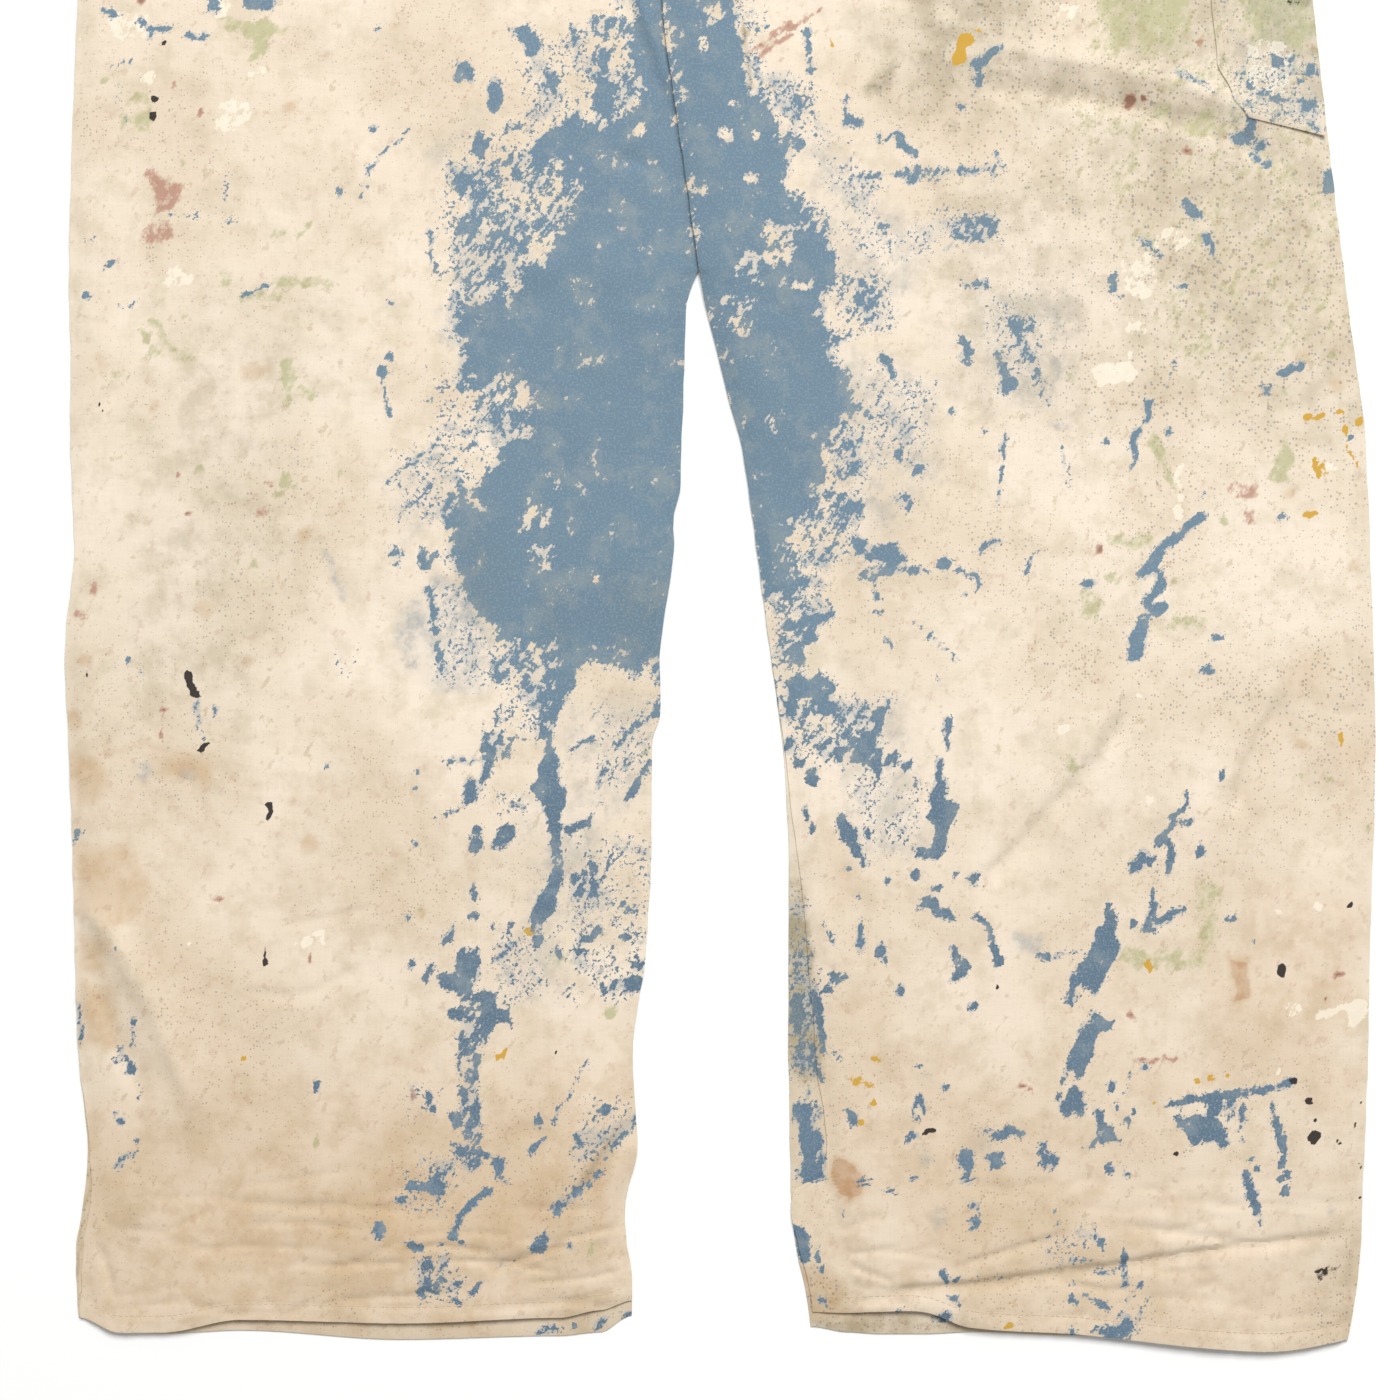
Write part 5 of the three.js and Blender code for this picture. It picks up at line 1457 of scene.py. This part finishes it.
@dataclass
class UpperGarment:
    """What joins above the legs: the waistband, the bib and the upper back."""

    band_width: float = 40.0
    band_taper: float = 3.0
    band_ends: tuple[float, float] = (-300.0, 294.0)
    band_stitches: tuple[float, float] = (4.0, 36.0)
    bib_bottom: float = 996.6
    bib_top: float = 1266.6
    bib_hem: float = 24.0
    back_top: float = 1290.0
    bib_sections: tuple[tuple[float, float], ...] = ((996.6, 205), (1030, 181), (1080, 163), (1160, 150), (1266.6, 142))
    back_sections: tuple[tuple[float, float], ...] = (
        (956, 297), (996, 291), (1035, 246), (1090, 192), (1160, 142), (1230, 108), (1290, 92),
    )

    def waistband(self, cloth: Cloth) -> Piece:
        """Lays the doubled band, stitched along both edges.

        Args:
            cloth: the piece to lay.

        Returns:
            The finished piece.
        """
        v = np.linspace(0.0, 1.0, 19)[:, None]
        u = np.linspace(0.0, 1.0, 202)[None, :]
        left, right = self.band_ends[0] + self.band_taper * v, self.band_ends[1] - self.band_taper * v
        x = left + (right - left) * u
        y = BAND_BOTTOM + self.band_width * v + 0.0 * x
        edge = self.band_width * np.minimum(v, 1.0 - v) + 0.0 * x
        stitched = np.exp(-(((edge - self.band_stitches[0]) / 1.4) ** 2))
        raised = 0.15 * waves(x, y, 51, 12, 8, 24) - 0.3 * stitched
        return cloth.lay(x, y, 0.35, raised)

    def bib(self, cloth: Cloth) -> Piece:
        """Lays the bib with its turned top hem.

        Args:
            cloth: the piece to lay.

        Returns:
            The finished piece.
        """
        v = np.linspace(0.0, 1.0, 106)[:, None]
        u = np.linspace(0.0, 1.0, 112)[None, :]
        y = self.bib_bottom + (self.bib_top - self.bib_bottom) * v
        x = MIDDLE_X + table(self.bib_sections, 0, 1)(y) * (2.0 * u - 1.0)
        y = y + 0.0 * x
        hem = np.exp(-(((y - self.bib_top + self.bib_hem) / 1.6) ** 2))
        pucker = 0.12 * waves(x, y, 52, 12, 7, 20) * smooth(y, self.bib_top - 40, self.bib_top - 10)
        return cloth.lay(x, y, 0.55, pucker - 0.35 * hem)

    def upper_back(self, cloth: Cloth) -> Piece:
        """Lays the upper back on the floor.

        Args:
            cloth: the piece to lay.

        Returns:
            The finished piece.
        """
        v = np.linspace(0.0, 1.0, 112)[:, None]
        u = np.linspace(0.0, 1.0, 121)[None, :]
        y = BAND_BOTTOM + (self.back_top - BAND_BOTTOM) * v
        x = MIDDLE_X + table(self.back_sections, 0, 1)(y) * (2.0 * u - 1.0)
        return cloth.lay(x, y + 0.0 * x, 0.0)


@dataclass
class Strap:
    """A doubled strap, sewn to the upper back, folded over and laid on the bib."""

    side: int
    node: str
    width: float = 38.0
    thickness: float = 2.0
    start: tuple[float, float] = (56.0, 1244.0)
    turn: tuple[float, float] = (92.0, 1426.0)
    end: tuple[float, float] = (113.0, 1218.0)
    low: float = 5.5
    back_top: float = 1290.0
    lift: float = 1.5
    sway: float = 0.35
    sharp: float = 60.0

    def line(self) -> Grid:
        """The strap's middle line.

        Returns:
            Rows of x, y and z in millimetres.
        """
        low_middle, high_middle = self.thickness / 2, self.low + self.thickness / 2
        radius = (high_middle - low_middle) / 2
        t = np.linspace(0.0, 1.0, 43)
        y = self.start[1] + (self.turn[1] - self.start[1]) * t
        x = self.start[0] + (self.turn[0] - self.start[0]) * t
        lifted = self.lift * (1.0 - smooth(y, self.back_top + 4, self.back_top + 30))
        out = np.stack([x, y, low_middle + lifted], axis=1)
        bend = np.linspace(-math.pi / 2, math.pi / 2, 11)[1:-1]
        past, over = self.turn[1] + radius * np.cos(bend), low_middle + radius * (1 + np.sin(bend))
        fold = np.stack([0 * bend + self.turn[0], past, over], axis=1)
        y = self.turn[1] + (self.end[1] - self.turn[1]) * t
        x = self.turn[0] + (self.end[0] - self.turn[0]) * t
        home = np.stack([x, y, 0 * t + high_middle], axis=1)
        line = np.concatenate([out, fold, home])
        line[:, 0] = MIDDLE_X + self.side * line[:, 0]
        return line

    def build(self, material: Material, spatter: Spatter) -> Piece:
        """Makes the strap as a flat tube of cloth with rounded edges and stitched borders.

        Args:
            material: the cloth.
            spatter: the paint on it.

        Returns:
            The finished piece.
        """
        line = self.line()
        slope = np.gradient(line[:, 1:], axis=0)
        normal = np.stack([-slope[:, 1], slope[:, 0]], axis=1)
        normal /= np.linalg.norm(normal, axis=1)[:, None]
        # Half of the upper side, as parts of the half width and thickness, with a dip along the stitches.
        profile = [(-1.0, 0.0), (-0.985, 0.6), (-0.9, 0.95), (-0.8, 0.72), (-0.7, 0.98), (-0.35, 1.0), (0.0, 1.0)]
        upper = profile + [(-across, out) for across, out in profile[-2::-1]]
        ring = upper + [(across, -out) for across, out in upper[-2:0:-1]]
        across, out = np.array(ring).T * [[self.width / 2], [self.thickness / 2]]
        sway = self.sway * waves(line[:, 1], line[:, 0], 61, 6, 30, 70)
        x = line[:, 0, None] + sway[:, None] + across[None, :]
        y = line[:, 1, None] + normal[:, 0, None] * out[None, :]
        z = line[:, 2, None] + normal[:, 1, None] * out[None, :]
        rows, columns = x.shape
        at = np.arange(rows * columns).reshape(rows, columns)
        following = np.roll(at, -1, axis=1)
        faces = np.stack([at[:-1], at[1:], following[1:], following[:-1]], axis=2).reshape(-1, 4).tolist()
        faces += [at[0].tolist(), at[-1, ::-1].tolist()]
        mesh = bpy.data.meshes.new("cloth_" + self.node)
        mesh.from_pydata(metres(x, y, z).tolist(), [], faces)
        work = bmesh.new()
        work.from_mesh(mesh)
        bmesh.ops.recalc_face_normals(work, faces=work.faces)
        work.to_mesh(mesh)
        work.free()
        obj = stand(mesh, [material], self.sharp, self.node)
        spatter.lay(obj, x.ravel(), y.ravel())
        return obj


@dataclass
class Button:
    """A turned horn button with a raised rim, four eyes and a cross of thread."""

    node: str
    radius: float = 9.0
    thickness: float = 3.2
    rim: float = 1.8
    hollow: float = 1.2
    eye: float = 0.9
    eyes_apart: float = 2.0
    eye_lift: float = 0.06
    thread_lift: float = 0.2
    thread: tuple[float, float, float] = (3.1, 0.55, 0.42)
    segments: int = 40
    sharp: float = 40.0

    def build(self, finishes: Finishes) -> Piece:
        """Turns the button on its solid's middle and sews it on.

        Args:
            finishes: the finishes to use.

        Returns:
            The finished piece.
        """
        low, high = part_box(self.node)
        middle = Vector(((low.x + high.x) / 2, (low.y + high.y) / 2, low.z))
        work = bmesh.new()
        r, t = self.radius, self.thickness
        profile = [(0, 0), (r - 1.4, 0), (r - 0.4, 0.5), (r, 1.3), (r - 0.2, 2.4), (r - 0.7, t - 0.1), (r - 1.2, t)]
        inside, floor = r - self.rim, t - self.hollow
        profile += [(inside, t - 0.25), (inside - 0.8, t - 0.9), (inside - 2.2, t - 1.15), (0, floor)]
        points = [work.verts.new((x / 1000, 0, z / 1000)) for x, z in profile]
        edges = [work.edges.new(pair) for pair in zip(points, points[1:])]
        about = {"cent": (0, 0, 0), "axis": (0, 0, 1), "angle": 2 * math.pi}
        bmesh.ops.spin(work, geom=points + edges, steps=self.segments, use_merge=True, **about)
        bmesh.ops.remove_doubles(work, verts=work.verts, dist=1e-6)
        bmesh.ops.recalc_face_normals(work, faces=work.faces)
        turned = len(work.faces)
        # Painted shade: each eye is a dark disc lying just above the hollow's floor, not a hole.
        for x in (-self.eyes_apart, self.eyes_apart):
            for y in (-self.eyes_apart, self.eyes_apart):
                made = bmesh.ops.create_circle(work, cap_ends=True, segments=16, radius=self.eye / 1000)
                bmesh.ops.translate(work, verts=made["verts"], vec=Vector((x, y, floor + self.eye_lift)) / 1000)
        eyes = len(work.faces)
        for turn in (math.pi / 4, -math.pi / 4):
            made = bmesh.ops.create_icosphere(work, subdivisions=2, radius=0.001)
            bmesh.ops.scale(work, verts=made["verts"], vec=self.thread)
            bmesh.ops.rotate(work, verts=made["verts"], cent=(0, 0, 0), matrix=Matrix.Rotation(turn, 3, "Z"))
            bmesh.ops.translate(work, verts=made["verts"], vec=(0, 0, (floor + self.thread_lift) / 1000))
        work.faces.ensure_lookup_table()
        for k, face in enumerate(work.faces):
            face.material_index = 0 if k < turned else 1 if k < eyes else 2
        bmesh.ops.translate(work, verts=work.verts, vec=middle)
        mesh = bpy.data.meshes.new("horn_" + self.node)
        work.to_mesh(mesh)
        work.free()
        return stand(mesh, [finishes.horn, finishes.shadow, finishes.thread], self.sharp, self.node)


def on_line(line: Grid, lengths: Grid, at: Grid) -> tuple[Grid, Grid]:
    """The points of a line of x and y rows at some lengths along it, given the length at each row."""
    return np.interp(at, lengths, line[:, 0]), np.interp(at, lengths, line[:, 1])


@dataclass
class Stitching:
    """Rows of thread on a piece of cloth, each stitch a small grain, left out where blue paint has buried it."""

    name: str
    host: Piece
    spatter: Spatter
    pitch: float = 3.3
    length: float = 2.5
    width: float = 0.6
    uneven: float = 0.12
    twist: float = 0.06
    buried: float = 0.5
    seed: int = 5

    def build(self, lines: list[Grid], material: Material) -> Piece:
        """Sews all rows as one mesh.

        Args:
            lines: rows of x and y points in millimetres.
            material: the thread.

        Returns:
            The finished piece.
        """
        grain = bmesh.new()
        bmesh.ops.create_icosphere(grain, subdivisions=1, radius=1.0)
        shape = np.array([v.co for v in grain.verts])
        faces = np.array([[v.index for v in f.verts] for f in grain.faces])
        grain.free()
        shape = shape * (self.length / 2000, self.width / 2000, 0.4 * self.width / 1000)
        search, rng = tree_of(self.host), np.random.default_rng(self.seed)
        points, made = [], []
        for line in lines:
            steps = np.concatenate([[0.0], np.cumsum(np.hypot(*np.diff(line, axis=0).T))])
            along = np.arange(self.pitch, steps[-1] - self.pitch, self.pitch)
            along = along + rng.normal(0.0, self.uneven, len(along))
            bare = self.spatter.cover(Paint.BLUE, *layout_of(*on_line(line, steps, along))) < self.buried
            along = along[bare]
            x, y = on_line(line, steps, along)
            (next_x, next_y), (last_x, last_y) = (on_line(line, steps, along + step) for step in (1.0, -1.0))
            turns = np.arctan2(next_y - last_y, next_x - last_x) + rng.normal(0.0, self.twist, len(x))
            middles = metres(x, y, np.zeros_like(x))
            middles[:, 2] = tops(search, middles[:, :2]) / 1000.0
            for middle, turn in zip(middles, turns):
                c, s = math.cos(turn), math.sin(turn)
                turned_x, turned_y = c * shape[:, 0] - s * shape[:, 1], s * shape[:, 0] + c * shape[:, 1]
                made.append(faces + len(points) * len(shape))
                points.append(np.stack([turned_x, turned_y, shape[:, 2]], axis=1) + middle)
        mesh = bpy.data.meshes.new(self.name)
        mesh.from_pydata(np.concatenate(points).tolist(), [], np.concatenate(made).tolist())
        return stand(mesh, [material])


@dataclass
class Studio:
    """The pale floor, the soft light and the camera straight above the legs."""

    floor_side: float = 9.0
    lens: float = 120.0
    sensor: float = 36.0
    camera_lift: float = 0.004
    key_offset: tuple[float, float, float] = (0.5, 2.4, 4.2)
    key_side: float = 2.2
    key_watts: float = 226.0
    sky: float = 0.4
    floor_drop: float = 0.0002

    def build(self) -> None:
        """Makes the floor, the lights and the camera."""
        work = bmesh.new()
        bmesh.ops.create_grid(work, x_segments=4, y_segments=4, size=self.floor_side / 2)
        bmesh.ops.translate(work, verts=work.verts, vec=(0, 0, -self.floor_drop))
        mesh = bpy.data.meshes.new("floor")
        work.to_mesh(mesh)
        work.free()
        # Painted board: an even, matt white.
        mesh.materials.append(Plain("white_board", "F7F7F6", "F5F5F4", 0.4, 0.9, 0.00001).make())
        floor = bpy.data.objects.new("floor", mesh)
        bpy.context.scene.collection.objects.link(floor)
        self.light()
        world = bpy.data.worlds.new("soft_room")
        world.use_nodes = True
        background = world.node_tree.nodes["Background"].inputs
        background["Color"].default_value = (1, 1, 1, 1)
        background["Strength"].default_value = self.sky
        bpy.context.scene.world = world
        bpy.context.scene.view_settings.view_transform = "Standard"
        self.camera()

    def light(self) -> None:
        """Hangs a soft square light over the legs."""
        data = bpy.data.lights.new("soft_box", "AREA")
        data.size, data.energy = self.key_side, self.key_watts
        lamp = bpy.data.objects.new("soft_box", data)
        aim = self.middle()
        lamp.location = aim + Vector(self.key_offset)
        lamp.rotation_euler = (aim - lamp.location).to_track_quat("-Z", "Y").to_euler()
        bpy.context.scene.collection.objects.link(lamp)

    def middle(self) -> Vector:
        """The middle of the view, on the floor, in metres."""
        y = (LAYOUT_HEM - LAYOUT_SIDE / 2) * UNIT - SHIFT[1]
        return Vector((-SHIFT[0] / 1000, y / 1000, 0.0))

    def camera(self) -> None:
        """Hangs the camera straight above, framing the layout."""
        data = bpy.data.cameras.new("above")
        data.lens, data.sensor_width = self.lens, self.sensor
        data.clip_end = 50.0
        camera = bpy.data.objects.new("above", data)
        cover = LAYOUT_SIDE * UNIT / 1000
        camera.location = self.middle() + Vector((0, 0, cover * self.lens / self.sensor + self.camera_lift))
        bpy.context.scene.collection.objects.link(camera)
        bpy.context.scene.camera = camera


@dataclass
class Overalls:
    """The whole garment, in the order in which it is laid."""

    finishes: Finishes = field(default_factory=Finishes)
    spatter: Spatter = field(default_factory=Spatter)
    handling: Handling = field(default_factory=Handling)

    upper: UpperGarment = field(default_factory=UpperGarment)
    pocket: ToolPocket = field(default_factory=ToolPocket)

    def cloth(self, node: str, flat: tuple[float, float], area: float, rests_on: str, **options: float) -> Cloth:
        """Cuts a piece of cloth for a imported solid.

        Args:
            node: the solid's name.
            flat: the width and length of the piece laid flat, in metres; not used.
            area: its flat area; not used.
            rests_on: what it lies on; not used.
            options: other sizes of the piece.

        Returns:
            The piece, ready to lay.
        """
        back = "back" in node
        material = self.finishes.drill_back if back else self.finishes.drill
        slot = "drill_back" if back else "drill"
        return Cloth(node, material, slot, flat, area, (rests_on,), self.spatter, self.handling, **options)

    def build(self) -> None:
        """Builds every piece from the floor up."""
        for leg in (RIGHT_LEG, LEFT_LEG):
            leg.back(self.cloth(f"leg_back_{leg.name}", (0.375, 0.99), 0.345, "floor"))
        self.upper.upper_back(self.cloth("upper_back", (0.63, 0.37), 0.152, "floor"))
        fronts = {}
        for leg in (RIGHT_LEG, LEFT_LEG):
            cut = self.cloth(f"leg_front_{leg.name}", (0.37, 0.99), 0.345, f"cloth_leg_back_{leg.name}", lowest=1.45)
            fronts[leg.name] = leg.front(cut)
        cut = self.cloth("tool_pocket", (0.075, 0.242), 0.0128, "cloth_leg_front_left", lowest=2.0)
        pocket = self.pocket.build(cut)
        cut = self.cloth("waistband", (0.615, 0.05), 0.029, "cloth_upper_back", thickness=2.0, lowest=2.2)
        band = self.upper.waistband(cut)
        bib = self.upper.bib(self.cloth("bib", (0.43, 0.33), 0.104, "cloth_upper_back", lowest=2.0))
        for leg in (RIGHT_LEG, LEFT_LEG):
            Strap(leg.side, f"strap_{leg.name}").build(self.finishes.drill, self.spatter)
        for node in sorted(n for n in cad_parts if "button" in n):
            Button(node).build(self.finishes)
        self.sew(fronts, pocket, band, bib)

    def sew(self, fronts: dict[str, Piece], pocket: Piece, band: Piece, bib: Piece) -> None:
        """Sews the hems, the fly, the pocket, the waistband and the bib.

        Args:
            fronts: the two fronts by side.
            pocket: the tool pocket.
            band: the waistband.
            bib: the bib.
        """
        for leg in (RIGHT_LEG, LEFT_LEG):
            edges = leg.front_edges(np.array([leg.hem_depth]))
            x = np.linspace(edges[0][0] + 3, edges[1][0] - 3, 120)
            lines = [np.stack([x, leg.hem_depth - leg.stitch_inset + table(leg.hem, 0, 1)(x) * 0.93], axis=1)]
            if leg.side > 0:
                y = np.linspace(LEGS_PART + 30, WAIST - 2, 120)
                lines += [np.stack([leg.front_edges(y)[0] + inset, y], axis=1) for inset in (3.0, 9.0)]
            self.stitch(f"stitches_front_{leg.name}", fronts[leg.name], lines)
        patch, upper = self.pocket, self.upper
        section = np.linspace(patch.bottom + 5, patch.top - 2, 60)
        side = np.stack([table(patch.sections, 0, 1)(section) + patch.stitch_inset, section + 0.3], axis=1)
        u = np.linspace(0.08, 0.98, 30)
        start = patch.sections[0][1] + 2.0
        x = start + (LEFT_LEG.outer(np.array([patch.bottom]))[0] - patch.edge - start) * u
        low = np.stack([x, patch.bottom + patch.stitch_inset - patch.tilt * u], axis=1)
        self.stitch("stitches_pocket", pocket, [side, low])
        x = np.linspace(upper.band_ends[0] + 8, upper.band_ends[1] - 8, 150)
        rows = [np.stack([x, 0 * x + BAND_BOTTOM + inset], axis=1) for inset in upper.band_stitches]
        self.stitch("stitches_waistband", band, rows)
        y = np.linspace(upper.bib_bottom + 3, upper.bib_top - 3, 80)
        half = table(upper.bib_sections, 0, 1)(y)
        sides = [np.stack([MIDDLE_X + s * (half - 5.0), y], axis=1) for s in (-1, 1)]
        x = np.linspace(MIDDLE_X - 138, MIDDLE_X + 138, 60)
        hem = np.stack([x, 0 * x + upper.bib_top - upper.bib_hem], axis=1)
        self.stitch("stitches_bib", bib, [*sides, hem])

    def stitch(self, name: str, host: Piece, lines: list[Grid]) -> None:
        """Sews rows of x and y points, in millimetres, on one piece."""
        Stitching(name, host, self.spatter).build(lines, self.finishes.thread)


def main() -> None:
    """Lays out and dresses the overalls."""
    logging.basicConfig(level=logging.INFO, format="%(name)s: %(message)s")
    Studio().build()
    Overalls().build()


if __name__ == "__main__":
    main()
